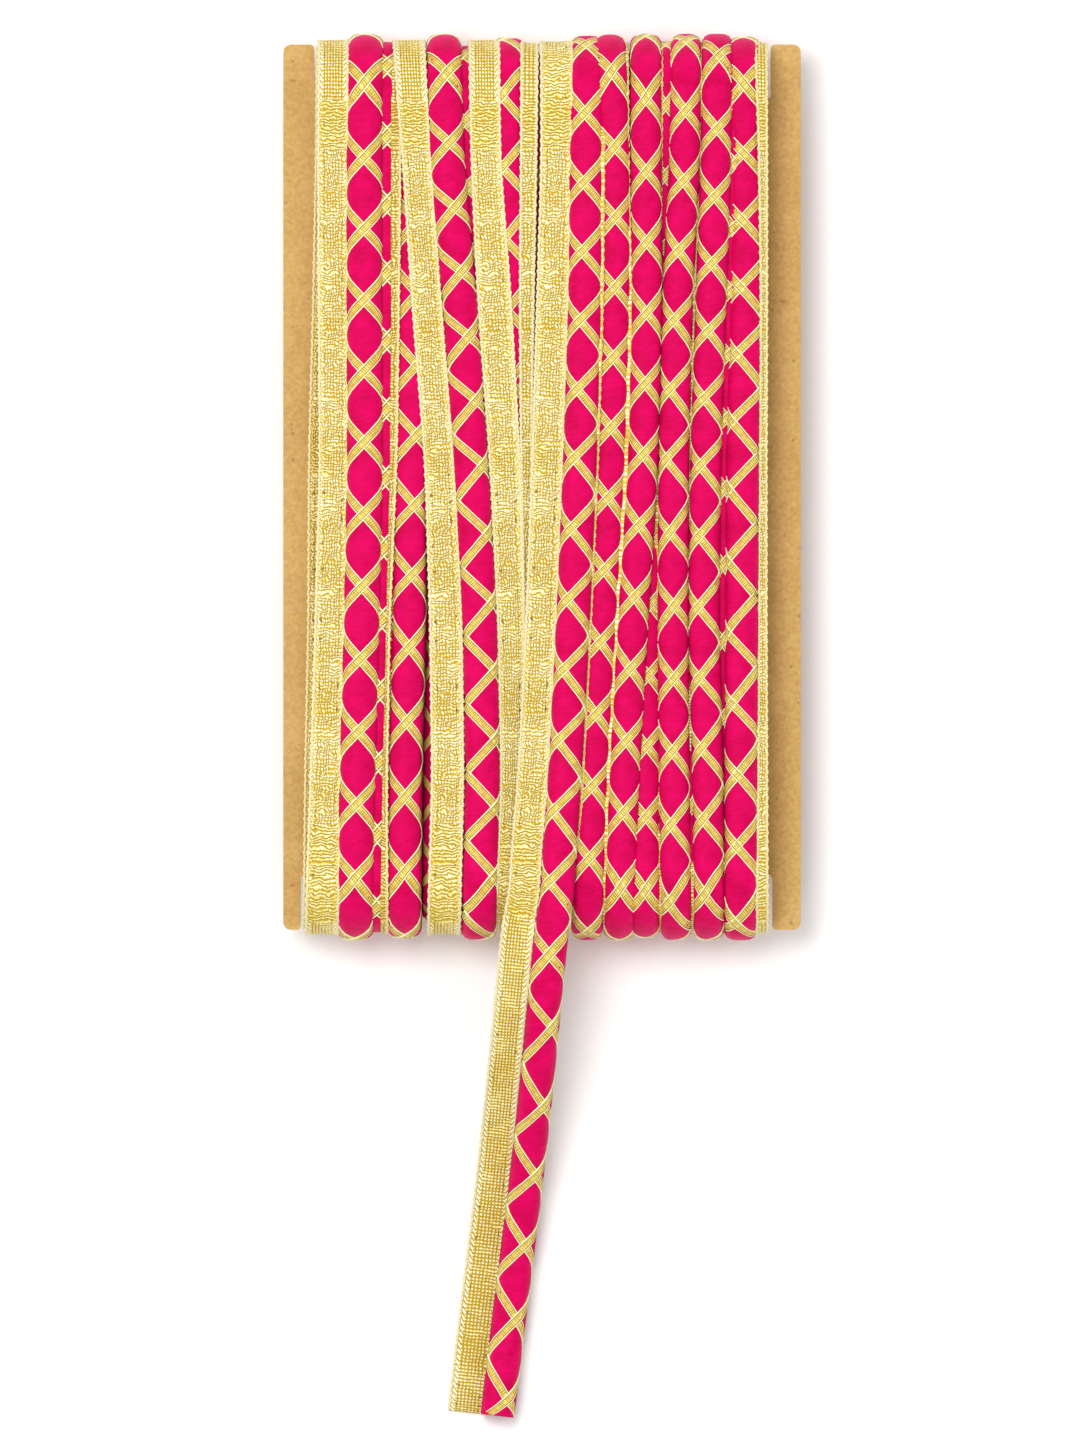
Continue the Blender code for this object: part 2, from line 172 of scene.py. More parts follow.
TURNS = (
    Turn(
        "far_left",
        (-35.4, -35.6, -36.1, -36.9, -37.0, -37.6, -37.8),
        (5.6, 3.3, 3.3, 3.3, 5.6, 6.0),
        tape=Tape(
            (-41.6, -41.8, -42.3, -43.1, -43.2, -43.8, -44.0),
            (-36.0, -36.2, -36.6, -37.2, -37.4, -37.9, -38.1),
            (8.6, 4.9, 4.8, 4.9, 8.6, 8.4),
            (8.6, 4.9, 4.8, 4.9, 8.6, 8.4),
            pressed_and_shaded=True,
        ),
    ),
    Turn(
        "a",
        (-32.5, -32.6, -32.6, -32.5, -33.1, -33.9, -34.4),
        roll=(-3.0,) * 7,
        net=Net(74.2, 1.7, -71.9, 12),
        tape=Tape(
            (-41.3, -41.4, -41.3, -41.1, -41.9, -42.8, -43.7),
            (-35.5, -35.5, -35.5, -35.4, -36.0, -36.7, -37.3),
            (9.8, 8.7, 8.6, 8.7, 9.8, 9.6),
            (9.8, 8.9, 8.8, 8.9, 9.8, 9.6),
        ),
        girth=1.08,
    ),
    Turn(
        "between_a_and_b",
        (-28.9, -28.9, -28.9, -29.1, -29.8, -30.6, -30.9),
        (6.2, 6.2, 6.2, 6.2, 6.2, 6.3),
        roll=(8.0,) * 7,
        net=Net(64.6, -4.6, -78.2, 12),
        ribbon=2.3,
    ),
    Turn(
        "b",
        (-24.5, -24.3, -24.1, -24.1, -24.4, -25.2, -25.3),
        (5.2, 5.7, 7.2, 7.5, 7.4, 7.95),
        roll=(20.0, 20.0, 20.0, 18.0, 2.0, 0.0, 0.0),
        net=Net(22.3, -22.6, -70.7, 8),
        tape=Tape(
            (-28.0, -28.0, -28.0, -28.2, -28.9, -29.6, -30.0),
            (-25.8, -25.8, -26.1, -26.5, -27.8, -28.3, -28.2),
            (9.2, 9.6, 9.6, 9.6, 9.5, 9.3),
            (9.0, 9.4, 9.7, 9.7, 9.5, 9.3),
            columns=6,
            cords=(1.0,),
            pressed_and_shaded=True,
        ),
    ),
    Turn(
        "c",
        (-18.1, -17.5, -15.1, -13.0, -11.4, -10.9, -11.6),
        (7.65, 8.1, 8.2, 8.1, 7.65, 7.95),
        roll=(7.0, 9.0, 15.0, 38.0, 47.0, 47.0, 48.0),
        net=Net(76.0, 3.9, -71.4, 13),
        tape=Tape(
            (-27.6, -25.8, -24.1, -21.7, -20.8, -20.4, -21.2),
            (-21.5, -20.3, -18.4, -16.0, -14.5, -14.2, -14.9),
            (9.8, 9.9, 9.9, 9.9, 9.8, 9.6),
            (9.8, 9.5, 9.4, 9.3, 9.8, 9.6),
        ),
        girth=1.05,
    ),
    Turn(
        "between_c_and_d",
        (-13.3, -12.8, -11.4, -9.6, -8.6, -8.2, -8.4),
        (6.0, 5.8, 4.9, 4.4, 4.4, 4.4),
        roll=(-25.0,) * 7,
        net=Net(67.3, 1.0, -71.0, 12),
        girth=0.95,
    ),
    Turn(
        "d",
        (-6.2, -6.2, -5.2, -4.0, -3.0, -2.9, -4.2),
        (6.6, 6.3, 5.4, 4.2, 5.4, 7.95),
        roll=(-22.0, -22.0, -24.0, -30.0, -30.0, -30.0, -30.0),
        net=Net(72.1, 6.4, -58.0, 11),
        tape=Tape(
            (-13.6, -13.2, -12.0, -9.8, -8.3, -7.7, -8.8),
            (-7.7, -7.5, -5.5, -3.9, -3.1, -2.9, -3.5),
            (9.8, 9.6, 9.8, 9.2, 9.2, 9.6),
            (9.8, 9.4, 9.3, 8.4, 8.6, 9.6),
        ),
    ),
    Turn(
        "e",
        (2.6, 2.6, 2.4, 1.8, 1.0, 0.4, 0.2),
        (5.6, 4.8, 4.2, 3.8, 4.6, 5.0),
        tape=Tape(
            (-4.0, -4.1, -4.3, -4.1, -3.5, -3.0, -2.6),
            (-0.6, -0.8, -1.3, -1.7, -1.0, -0.6, -0.2),
            (9.8, 9.4, 9.2, 8.6, 7.4, 8.6),
            (9.5, 8.9, 8.7, 8.1, 7.0, 7.8),
            columns=7,
        ),
    ),
    Turn(
        "p2",
        (12.5, 13.5, 13.4, 12.5, 10.9, 9.2, 8.3),
        (7.5, 7.6, 7.6, 7.6, 7.6, 7.95),
        net=Net(76.4, -2.0, -81.9, 13),
        tape=hugging((11.4, 11.3, 11.1, 10.2, 8.9, 7.5, 5.5), 10.5),
        girth=0.96,
    ),
    Turn(
        "p3",
        (19.1, 19.1, 19.3, 18.6, 16.7, 15.1, 14.2),
        net=Net(58.0, -7.0, -73.6, 11),
        tape=hugging((15.7, 15.8, 16.4, 15.8, 14.0, 12.3, 11.5), 9.6),
        girth=0.93,
    ),
    Turn(
        "between_p3_and_p4",
        (22.8, 22.7, 21.9, 20.9, 19.8, 19.1, 18.9),
        (6.1, 5.3, 5.3, 6.5, 7.2, 7.2),
        net=Net(70.4, -2.1, -74.5, 12),
        tape=hugging((22.0, 21.9, 21.6, 20.4, 19.0, 17.5, 16.7), 8.4),
        girth=0.93,
    ),
    Turn(
        "p4",
        (26.5, 26.3, 24.9, 24.2, 24.1, 24.3, 24.7),
        roll=(0.0, 0.0, -10.0, -30.0, 6.0, -10.0, -30.0),
        net=Net(82.1, 5.0, -76.5, 13),
        tape=hugging((23.6, 23.4, 22.0, 21.4, 21.3, 21.6, 21.8), 8.7, head_top=5.6),
        girth=0.92,
    ),
    Turn(
        "between_p4_and_p5",
        (28.4, 28.2, 27.6, 27.2, 27.1, 27.2, 27.4),
        (5.8, 4.8, 4.8, 5.9, 6.0, 6.0),
        net=Net(70.0, 0.0, -72.0, 12),
    ),
    Turn(
        "p5",
        (32.2, 32.0, 31.1, 30.1, 29.7, 30.5, 30.7),
        roll=(10.0, 0.0, -5.0, -21.0, -22.0, -23.0, -14.0),
        net=Net(79.3, 3.9, -74.9, 13),
        tape=hugging((29.3, 29.0, 27.9, 27.2, 27.0, 27.8, 27.8), 8.9),
        girth=0.93,
    ),
    Turn(
        "between_p5_and_p7",
        (35.6, 35.6, 34.8, 33.7, 33.1, 33.4, 33.7),
        (6.3, 6.1, 5.9, 5.2, 6.0, 6.0),
        net=Net(71.2, 6.8, -70.5, 12),
        girth=0.9,
    ),
    Turn(
        "p7",
        (37.2, 37.2, 37.5, 36.9, 36.8, 36.6, 36.6),
        (6.9, 6.4, 7.9, 7.9, 7.65, 7.95),
        roll=(-2.0, -4.0, -20.0, -48.0, -58.0, -12.0, -19.0),
        net=Net(74.5, -0.4, -80.2, 13),
        tape=Tape(
            (41.5, 41.6, 41.6, 41.5, 41.5, 41.6, 41.7),
            (39.0, 39.7, 40.0, 39.8, 39.6, 39.5, 39.2),
            (9.2, 8.8, 8.8, 8.8, 9.2, 8.8),
            (9.8, 9.3, 9.2, 9.3, 9.8, 9.4),
            columns=7,
        ),
        flipped=True,
    ),
)

# The last turn: from where it starts, hidden under itself, round the foot, the back and the head, and down the front.
LAST_STATIONS = (81.5, 60.2, 34.4, 5.0, -24.5, -53.9, -71.2)
LAST_PIPING = (8.3, 8.1, 7.9, 7.0, 5.7, 4.2, 2.85)
LAST_TAPE_OUTER = (-0.4, -0.3, -1.1, -2.0, -3.1, -4.6, -6.2)
LAST_TAPE_INNER = (5.8, 5.7, 5.0, 4.0, 2.8, 1.3, -0.3)
LAST_START = STRAIGHT - 32.0 - ONE_TURN
LAST_LEVEL_PLACES = (-235.0, -205.0, -196.0, -178.0, -163.0, -37.0, -22.0, -5.0, 11.2, 71.2, 131.2, 142.4)
LAST_LEVELS = (3.4, 3.6, 6.3, 6.3, 7.95, 7.95, 7.65, 7.65, 8.5, 9.5, 9.8, 9.8)
LAST_TAPE_PLACES = (-235.0, -205.0, -196.0, -178.0, -163.0, -37.0, -22.0, -5.0, 11.2, 71.2, 131.2, 142.4)
LAST_TAPE_TOPS = (4.4, 4.6, 8.2, 8.4, 9.6, 9.6, 9.8, 9.8, 9.7, 10.0, 10.3, 10.3)
LAST_ROLL = (
    (81.5, -3.0),
    (60.2, -8.0),
    (34.4, -14.0),
    (5.0, -21.0),
    (-24.5, -23.0),
    (-53.9, -34.0),
    (-73.2, -30.0),
    (-85.7, 0.0),
    (-98.3, 35.0),
    (-112.6, 33.0),
    (-125.7, 31.0),
    (-139.1, 23.0),
    (-153.1, 26.0),
    (-171.0, 29.0),
)
LAST_NET = Net(81.7, 5.2, -73.2, 13)
LOOSE_CROSSINGS = (-85.7, -98.3, -112.6, -125.7, -139.1, -153.1, -168.0)

# The loose piping's centre line, from the pack to its cut end: across, along and up from the surface.
LOOSE_ROUTE = (
    (1.95, -79.8, 23.20),
    (1.45, -84.5, 23.05),
    (0.92, -90.0, 22.30),
    (0.40, -95.5, 20.85),
    (-0.12, -101.0, 18.80),
    (-0.66, -106.5, 16.30),
    (-1.22, -112.0, 13.55),
    (-1.80, -117.5, 10.85),
    (-2.40, -123.0, 8.45),
    (-3.03, -128.5, 6.45),
    (-3.69, -134.0, 4.95),
    (-4.37, -139.5, 3.95),
    (-5.07, -145.0, 3.38),
    (-5.76, -150.5, 3.14),
    (-6.44, -156.0, 3.10),
    (-7.10, -161.5, 3.10),
    (-7.74, -167.0, 3.10),
    (-8.34, -172.3, 3.10),
)


def in_frame(places: np.ndarray) -> np.ndarray:
    """Move places from the card's middle to the part's frame, in metres, none of them below the surface."""
    moved = places + np.array([0.0, CARD_Y, 0.0])
    moved[..., 2] = np.maximum(moved[..., 2], 0.0)
    return moved * MM


def smoothed(values: np.ndarray, reach: float, closed: bool) -> np.ndarray:
    """Round off the corners of a sampled line.

    Args:
        values: The samples, SAMPLE_STEP apart.
        reach: The length that each smoothed sample draws on.
        closed: Whether the line runs on from its end to its start.

    Returns:
        The smoothed samples.
    """
    half = max(int(reach / SAMPLE_STEP / 2), 1)
    weights = np.hanning(2 * half + 3)[1:-1]
    padded = np.pad(values, half, mode="wrap" if closed else "edge")
    return np.convolve(padded, weights / weights.sum(), mode="valid")


def racetrack(along: np.ndarray, straight_on: bool = False) -> tuple[np.ndarray, np.ndarray, np.ndarray]:
    """Follow the core's racetrack.

    Args:
        along: Distances along a turn from the head end of the flat front.
        straight_on: Whether the front runs straight on past the foot bend, as the last turn does.

    Returns:
        The place along Y, and the outward direction's Y and Z.
    """
    wrapped = np.mod(along, ONE_TURN)
    foot_bend = np.clip((wrapped - STRAIGHT) / BEND_RADIUS, 0.0, math.pi)
    head_bend = np.clip((wrapped - 2 * STRAIGHT - HALF_BEND) / BEND_RADIUS, 0.0, math.pi)
    turned = foot_bend + head_bend
    down = np.clip(wrapped, 0.0, STRAIGHT)
    up = np.clip(wrapped - STRAIGHT - HALF_BEND, 0.0, STRAIGHT)
    y = BEND_Y - down + up
    out_y, out_z = -np.sin(turned), np.cos(turned)
    if straight_on:
        beyond = along > STRAIGHT
        y = np.where(beyond, BEND_Y - along, y)
        out_y, out_z = np.where(beyond, 0.0, out_y), np.where(beyond, 1.0, out_z)
    return y, out_y, out_z


@dataclass
class Route:
    """A piping's sampled centre line, with the way across it and the way out of the pack at each sample."""

    along: np.ndarray
    centre: np.ndarray
    rough_out: np.ndarray
    period: float | None = None
    across: np.ndarray = field(init=False)
    out: np.ndarray = field(init=False)

    def __post_init__(self) -> None:
        """Work out the frame at each sample."""
        if self.period:
            heading = np.roll(self.centre, -1, axis=0) - np.roll(self.centre, 1, axis=0)
        else:
            heading = np.gradient(self.centre, axis=0)
        heading /= np.linalg.norm(heading, axis=1, keepdims=True)
        self.across = np.cross(self.rough_out, heading)
        self.across /= np.linalg.norm(self.across, axis=1, keepdims=True)
        self.out = np.cross(heading, self.across)

    def read(self, samples: np.ndarray, along: np.ndarray) -> np.ndarray:
        """Read sampled vectors at distances along the route."""
        axes = [np.interp(along, self.along, samples[:, axis], period=self.period) for axis in range(3)]
        return np.stack(axes, axis=-1)

    def place(self, along: np.ndarray, side: np.ndarray, up: np.ndarray) -> np.ndarray:
        """Return the places at distances along, to the right of and out from the centre line."""
        centre = self.read(self.centre, along)
        across, out = self.read(self.across, along), self.read(self.out, along)
        return centre + across * side[..., None] + out * up[..., None]


@dataclass
class Lay:
    """How one length of trim lies: its route, its section, its roll and its net, as functions of the way along."""

    name: str
    route: Route
    roll_keys: tuple[np.ndarray, np.ndarray]
    net_keys: tuple[np.ndarray, np.ndarray] | None
    flipped: bool = False
    girth: float = 1.0

    def skin(self, along: np.ndarray, angle: np.ndarray, radius: np.ndarray) -> np.ndarray:
        """Return places round the piping.

        Args:
            along: Distances along the route.
            angle: Angles from straight out, to the right, in degrees.
            radius: Distances from the centre line, before the section is pressed narrower or squarer.

        Returns:
            The places. The trim is pulled tight over the card's ends, so that its section is squarer there.
        """
        turned = np.radians(angle)
        corner = 2.8 + 0.9 * self.tightness(along)
        square = (np.abs(np.sin(turned)) ** corner + np.abs(np.cos(turned)) ** corner) ** (-1.0 / corner)
        side, up = radius * square * np.sin(turned) * self.girth, radius * square * np.cos(turned)
        return self.route.place(along, side, up)

    @staticmethod
    def tightness(along: np.ndarray) -> np.ndarray:
        """How tight the trim is pulled over an end of the card: 1 on the bends seen from the front, and 0 beyond."""
        from_end = np.abs(np.abs(np.mod(along + HALF_BEND, ONE_TURN) - HALF_BEND - BEND_Y) - BEND_Y - 10.0)
        return np.clip(1.0 - from_end / 16.0, 0.0, 1.0)

    def roll(self, along: np.ndarray) -> np.ndarray:
        """How far the piping is rolled to the right, in degrees."""
        return np.interp(along, *self.roll_keys, period=self.route.period)

    def crossing_number(self, along: np.ndarray) -> np.ndarray:
        """Count crossings along the front of the net, with shares of a crossing between them."""
        return np.interp(along, *self.net_keys)

    def crossing_place(self, number: np.ndarray) -> np.ndarray:
        """Where along the route a crossing, or a share of one, lies."""
        return np.interp(number, self.net_keys[1], self.net_keys[0])

    def net_angle(self, along: np.ndarray, angle: np.ndarray) -> np.ndarray:
        """Turn an angle round the piping into one round its net, between the two sides of the seam."""
        turned = (angle - self.roll(along)) * (-1.0 if self.flipped else 1.0)
        return np.mod(turned - SEAM_MIDDLE, 360.0) + SEAM_MIDDLE

    def piping_radius(self, along: np.ndarray, angle: np.ndarray) -> np.ndarray:
        """The cover's radius: drawn in under the ribbons and puffed out between them."""
        if self.net_keys is None:
            return np.full(np.broadcast(along, angle).shape, PIPING_RADIUS)
        number = self.crossing_number(along)
        share = self.net_angle(along, angle) / (2 * ONE_CROSSING)
        pitch = 13.0
        slope = math.atan2(pitch / 2, PIPING_RADIUS * math.radians(ONE_CROSSING))
        puff = np.ones(np.broadcast(along, angle).shape)
        for lead in (share, -share):
            apart = number - lead - np.round(number - lead)
            puff *= 1.0 - 0.95 * np.exp(-((apart * pitch * math.cos(slope) / 1.0) ** 2))
        return PIPING_RADIUS - 0.23 + 0.31 * puff


def wound_lay(turn: Turn) -> Lay:
    """Lay one whole turn round the card.

    Args:
        turn: The turn's places, heights, roll and net.

    Returns:
        The lay, closed on itself.
    """
    along = np.arange(0.0, ONE_TURN, SAMPLE_STEP)
    across = smoothed(closed_across(along, turn.piping), ROUTE_SMOOTHING, True)
    level = smoothed(closed_level(along, turn.level), ROUTE_SMOOTHING / 2, True)
    y, out_y, out_z = racetrack(along)
    reach = CORE_HALF + level
    centre = np.stack([across, y + out_y * reach, CARD_Z + out_z * reach], axis=1)
    out = np.stack([np.zeros_like(y), out_y, out_z], axis=1)
    roll = closed_across(along, turn.roll)
    net = None
    if turn.net:
        places, numbers = turn.net.keys()
        pitch = (places[-1] - places[0]) / (numbers[-1] - numbers[0])
        whole = round(ONE_TURN / pitch)
        places = [p + lap * ONE_TURN for lap in (-1, 0, 1, 2) for p in places]
        numbers = [n + lap * whole for lap in (-1, 0, 1, 2) for n in numbers]
        net = (np.array(places), np.array(numbers))
    route = Route(along, centre, out, ONE_TURN)
    return Lay(turn.name, route, (along, roll), net, turn.flipped, turn.girth)


def closed_across(along: np.ndarray, places: Row7) -> np.ndarray:
    """Lead a turn across the front through its stations, and back from its foot to its head behind."""
    head, foot = places[0], places[-1]
    keys = [*STATIONS_ALONG, STRAIGHT + HALF_BEND, 2 * STRAIGHT + HALF_BEND]
    return np.interp(along, keys, [*places, foot, head], period=ONE_TURN)


def closed_level(along: np.ndarray, level: Row6) -> np.ndarray:
    """Lift a turn to its six heights."""
    head, high, middle, low, foot, back = level
    return np.interp(along, LEVEL_PLACES, [head, high, middle, low, foot, foot, back, back], period=ONE_TURN)


def rows_along(start: float, end: float, coarse_back: bool = True) -> np.ndarray:
    """Choose where a wound piece has its rows: close together where it shows, further apart on the back."""
    rows = [start]
    while rows[-1] < end - 0.3:
        wrapped = rows[-1] % ONE_TURN
        on_back = STRAIGHT + HALF_BEND < wrapped < 2 * STRAIGHT + HALF_BEND
        rows.append(min(rows[-1] + (1.9 if on_back and coarse_back else 1.0), end))
    return np.array(rows)


@dataclass
class Weaver:
    """Makes each piece's mesh from a grid of places, dresses it, and ties it to the frame."""

    body: str = "root"
    made: int = 0

    def grid(self, name: str, places: np.ndarray, skin: np.ndarray, net: np.ndarray | None = None) -> bpy.types.Object:
        """Add a grid primitive and shape it.

        Args:
            name: The new piece's name.
            places: Rows by columns of places, in metres.
            skin: Rows by columns of the way across and along the cloth, in millimetres, for its patterns.
            net: Rows by columns of net coordinates, for a net that is only painted.

        Returns:
            The piece, shaded smooth.
        """
        rows, columns = places.shape[:2]
        bpy.ops.object.select_all(action="DESELECT")
        bpy.ops.mesh.primitive_grid_add(x_subdivisions=columns - 1, y_subdivisions=rows - 1, size=2.0)
        piece = bpy.context.object
        piece.name = piece.data.name = name
        mesh = piece.data
        flat = np.empty(len(mesh.vertices) * 3, np.float32)
        mesh.vertices.foreach_get("co", flat)
        flat = flat.reshape(-1, 3)
        column = np.rint((flat[:, 0] + 1) / 2 * (columns - 1)).astype(int)
        row = np.rint((flat[:, 1] + 1) / 2 * (rows - 1)).astype(int)
        mesh.vertices.foreach_set("co", places[row, column].astype(np.float32).ravel())
        corners = np.empty(len(mesh.loops), np.int32)
        mesh.loops.foreach_get("vertex_index", corners)
        mesh.uv_layers[0].name = "Skin"
        mesh.uv_layers[0].data.foreach_set("uv", skin[row, column][corners].astype(np.float32).ravel())
        if net is not None:
            painted = mesh.uv_layers.new(name="Net")
            painted.data.foreach_set("uv", net[row, column][corners].astype(np.float32).ravel())
        mesh.flip_normals()
        mesh.shade_smooth()
        return piece

    def close(self, piece: bpy.types.Object) -> None:
        """Merge a tube's seams and fill its open ends."""
        body = bmesh.new()
        body.from_mesh(piece.data)
        rim = [vertex for vertex in body.verts if vertex.is_boundary]
        bmesh.ops.remove_doubles(body, verts=rim, dist=1e-6)
        open_edges = [edge for edge in body.edges if edge.is_boundary]
        if open_edges:
            bmesh.ops.holes_fill(body, edges=open_edges, sides=0)
        bmesh.ops.recalc_face_normals(body, faces=body.faces)
        body.to_mesh(piece.data)
        body.free()
        piece.data.set_sharp_from_angle(angle=SHARP)

    def tubes(self, name: str, rings: np.ndarray, skin: np.ndarray) -> bpy.types.Object:
        """Join many short closed tubes in one mesh.

        Args:
            name: The new piece's name.
            rings: Tubes by stations by ring points of places, in metres, each ring turning the same way.
            skin: The same shape of pattern coordinates, in millimetres.

        Returns:
            The joined piece.
        """
        count, stations, ring = rings.shape[:3]
        station, corner = np.meshgrid(np.arange(stations - 1), np.arange(ring), indexing="ij")
        after = (corner + 1) % ring
        quads = np.stack(
            [station * ring + corner, station * ring + after, (station + 1) * ring + after, (station + 1) * ring + corner],
            axis=-1,
        ).reshape(-1, 4)
        starts = np.arange(count)[:, None, None] * stations * ring
        quads = (quads[None] + starts).reshape(-1, 4)
        caps = np.stack([np.arange(ring)[::-1], (stations - 1) * ring + np.arange(ring)])
        caps = (caps[None] + starts).reshape(-1, ring)
        faces = [*quads.tolist(), *caps.tolist()]
        mesh = bpy.data.meshes.new(name)
        mesh.from_pydata(rings.reshape(-1, 3).tolist(), [], faces)
        corners = np.empty(len(mesh.loops), np.int32)
        mesh.loops.foreach_get("vertex_index", corners)
        mesh.uv_layers.new(name="Skin").data.foreach_set("uv", skin.reshape(-1, 2)[corners].astype(np.float32).ravel())
        mesh.shade_smooth()
        piece = bpy.data.objects.new(name, mesh)
        bpy.context.scene.collection.objects.link(piece)
        return piece

    def dress(
        self, piece: bpy.types.Object, material: bpy.types.Material, finish: Finish, replaced: str
    ) -> bpy.types.Object:
        """Give a piece its material and body, and hide the CAD node that it stands for.

        Args:
            piece: The finished piece.
            material: Its material.
            finish: Not used.
            replaced: The CAD node that the piece stands for.

        Returns:
            The same piece.
        """
        piece.data.materials.clear()
        piece.data.materials.append(material)
        piece.data.update()
        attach(piece, self.body)
        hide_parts(replaced)
        self.made += 1
        LOG.info("%s: %d faces", piece.name, len(piece.data.polygons))
        return piece


@dataclass
class Piping:
    """The pink cover over its cord, puffed out between the ribbons."""

    lay: Lay
    top_steps: int = 16
    top_reach: float = 112.0
    under_steps: int = 4

    def angles(self) -> np.ndarray:
        """Angles round the piping, close together over its top."""
        top = np.linspace(-self.top_reach, self.top_reach, self.top_steps + 1)
        under = np.linspace(self.top_reach, 360.0 - self.top_reach, self.under_steps + 1)
        return np.concatenate([top, under[1:]])

    def build(self, weaver: Weaver, rows: np.ndarray, name: str) -> bpy.types.Object:
        """Make the tube over these rows.

        Args:
            weaver: What makes the mesh.
            rows: The places along the route of the tube's rows.
            name: The piece's name.

        Returns:
            The closed tube.
        """
        along, angle = np.meshgrid(rows, self.angles(), indexing="ij")
        radius = self.lay.piping_radius(along, angle)
        places = self.lay.skin(along, angle, radius)
        skin = np.stack([np.radians(angle) * PIPING_RADIUS, along], axis=-1)
        net = None
        if self.lay.net_keys is not None:
            share = self.lay.net_angle(along, angle) / (2 * ONE_CROSSING)
            net = np.stack([share, self.lay.crossing_number(along)], axis=-1)
        piece = weaver.grid(name, in_frame(places), skin, net)
        weaver.close(piece)
        return piece


@dataclass
class RibbonNet:
    """The narrow ribbons that cross over a piping: a flat middle between two raised edge threads."""

    lay: Lay
    width: float = RIBBON_WIDTH
    cut_at: float | None = None
    stations: int = 20
    wrap: float = 0.80
    section: tuple[tuple[float, float], ...] = (
        (-0.50, -0.14),
        (-0.48, 0.15),
        (-0.41, 0.20),
        (-0.33, 0.09),
        (0.33, 0.09),
        (0.41, 0.20),
        (0.48, 0.15),
        (0.50, -0.14),
    )
    base: float = PIPING_RADIUS - 0.15
    hump: float = 0.13

    def build(self, weaver: Weaver, start: float, end: float, name: str) -> bpy.types.Object:
        """Lay every ribbon that leaves the front seam between two places.

        Args:
            weaver: What makes the mesh.
            start: The first place along the route.
            end: The last place along the route.
            name: The piece's name.

        Returns:
            All the ribbons as one piece.
        """
        first = math.ceil(float(self.lay.crossing_number(np.array(start))) - 0.5)
        last = math.ceil(float(self.lay.crossing_number(np.array(end))) - 0.5)
        rings, skins = [], []
        for number in range(first, last):
            for family in (1.0, -1.0):
                low, high = self.kept(number + 0.5, family)
                if high - low < 0.08:
                    continue
                ring, skin = self.ribbon(number + 0.5, family, np.linspace(low, high, self.stations))
                rings.append(ring)
                skins.append(skin)
        return weaver.tubes(name, np.array(rings), np.array(skins))

    def kept(self, number: float, family: float) -> tuple[float, float]:
        """Which shares of a ribbon's way round are left where the trim is cut off."""
        if self.cut_at is None:
            return 0.0, self.wrap
        edge = float(self.lay.crossing_number(np.array(self.cut_at)))
        share = (edge - number) * family / CROSSINGS_PER_RIBBON
        return (0.0, min(self.wrap, share)) if family > 0 else (max(0.0, share), self.wrap)

    def ribbon(self, number: float, family: float, share: np.ndarray) -> tuple[np.ndarray, np.ndarray]:
        """Lay one ribbon from the front seam.

        Args:
            number: Where it leaves the seam, in crossings.
            family: 1 if it runs on along the route as it goes round, or -1 if it runs back.
            share: Its stations, as shares of the way round to the back seam.

        Returns:
            The ribbon's rings in metres, and their pattern coordinates.
        """
        side, height = np.array(self.section).T
        if family < 0:
            side = -side
        round_all = 3 * ONE_CROSSING
        along = self.lay.crossing_place(number + family * CROSSINGS_PER_RIBBON * share)[:, None]
        angle = (SEAM_ANGLE + round_all * share)[:, None]
        run = family * CROSSINGS_PER_RIBBON * 13.0
        girth = PIPING_RADIUS * math.radians(round_all)
        length = math.hypot(run, girth)
        width = RIBBON_WIDTH * side[None, :]
        spread = self.width * side[None, :]
        along = along - spread * girth / length
        angle = angle + np.degrees(spread * run / length / PIPING_RADIUS)
        over = np.cos(share * round_all / ONE_CROSSING * math.pi) * family
        lift = self.hump * np.clip(over, 0.0, 1.0) ** 6
        radius = self.base + height[None, :] + lift[:, None]
        turned = angle * (-1.0 if self.lay.flipped else 1.0) + self.lay.roll(along)
        if self.lay.flipped == (family > 0):
            turned, along, radius, width = (a[:, ::-1] for a in (turned, along, radius, width * np.ones_like(turned)))
        places = self.lay.skin(along, turned, radius)
        skin = np.stack(np.broadcast_arrays(width, (share * length)[:, None]), axis=-1)
        return in_frame(places), skin


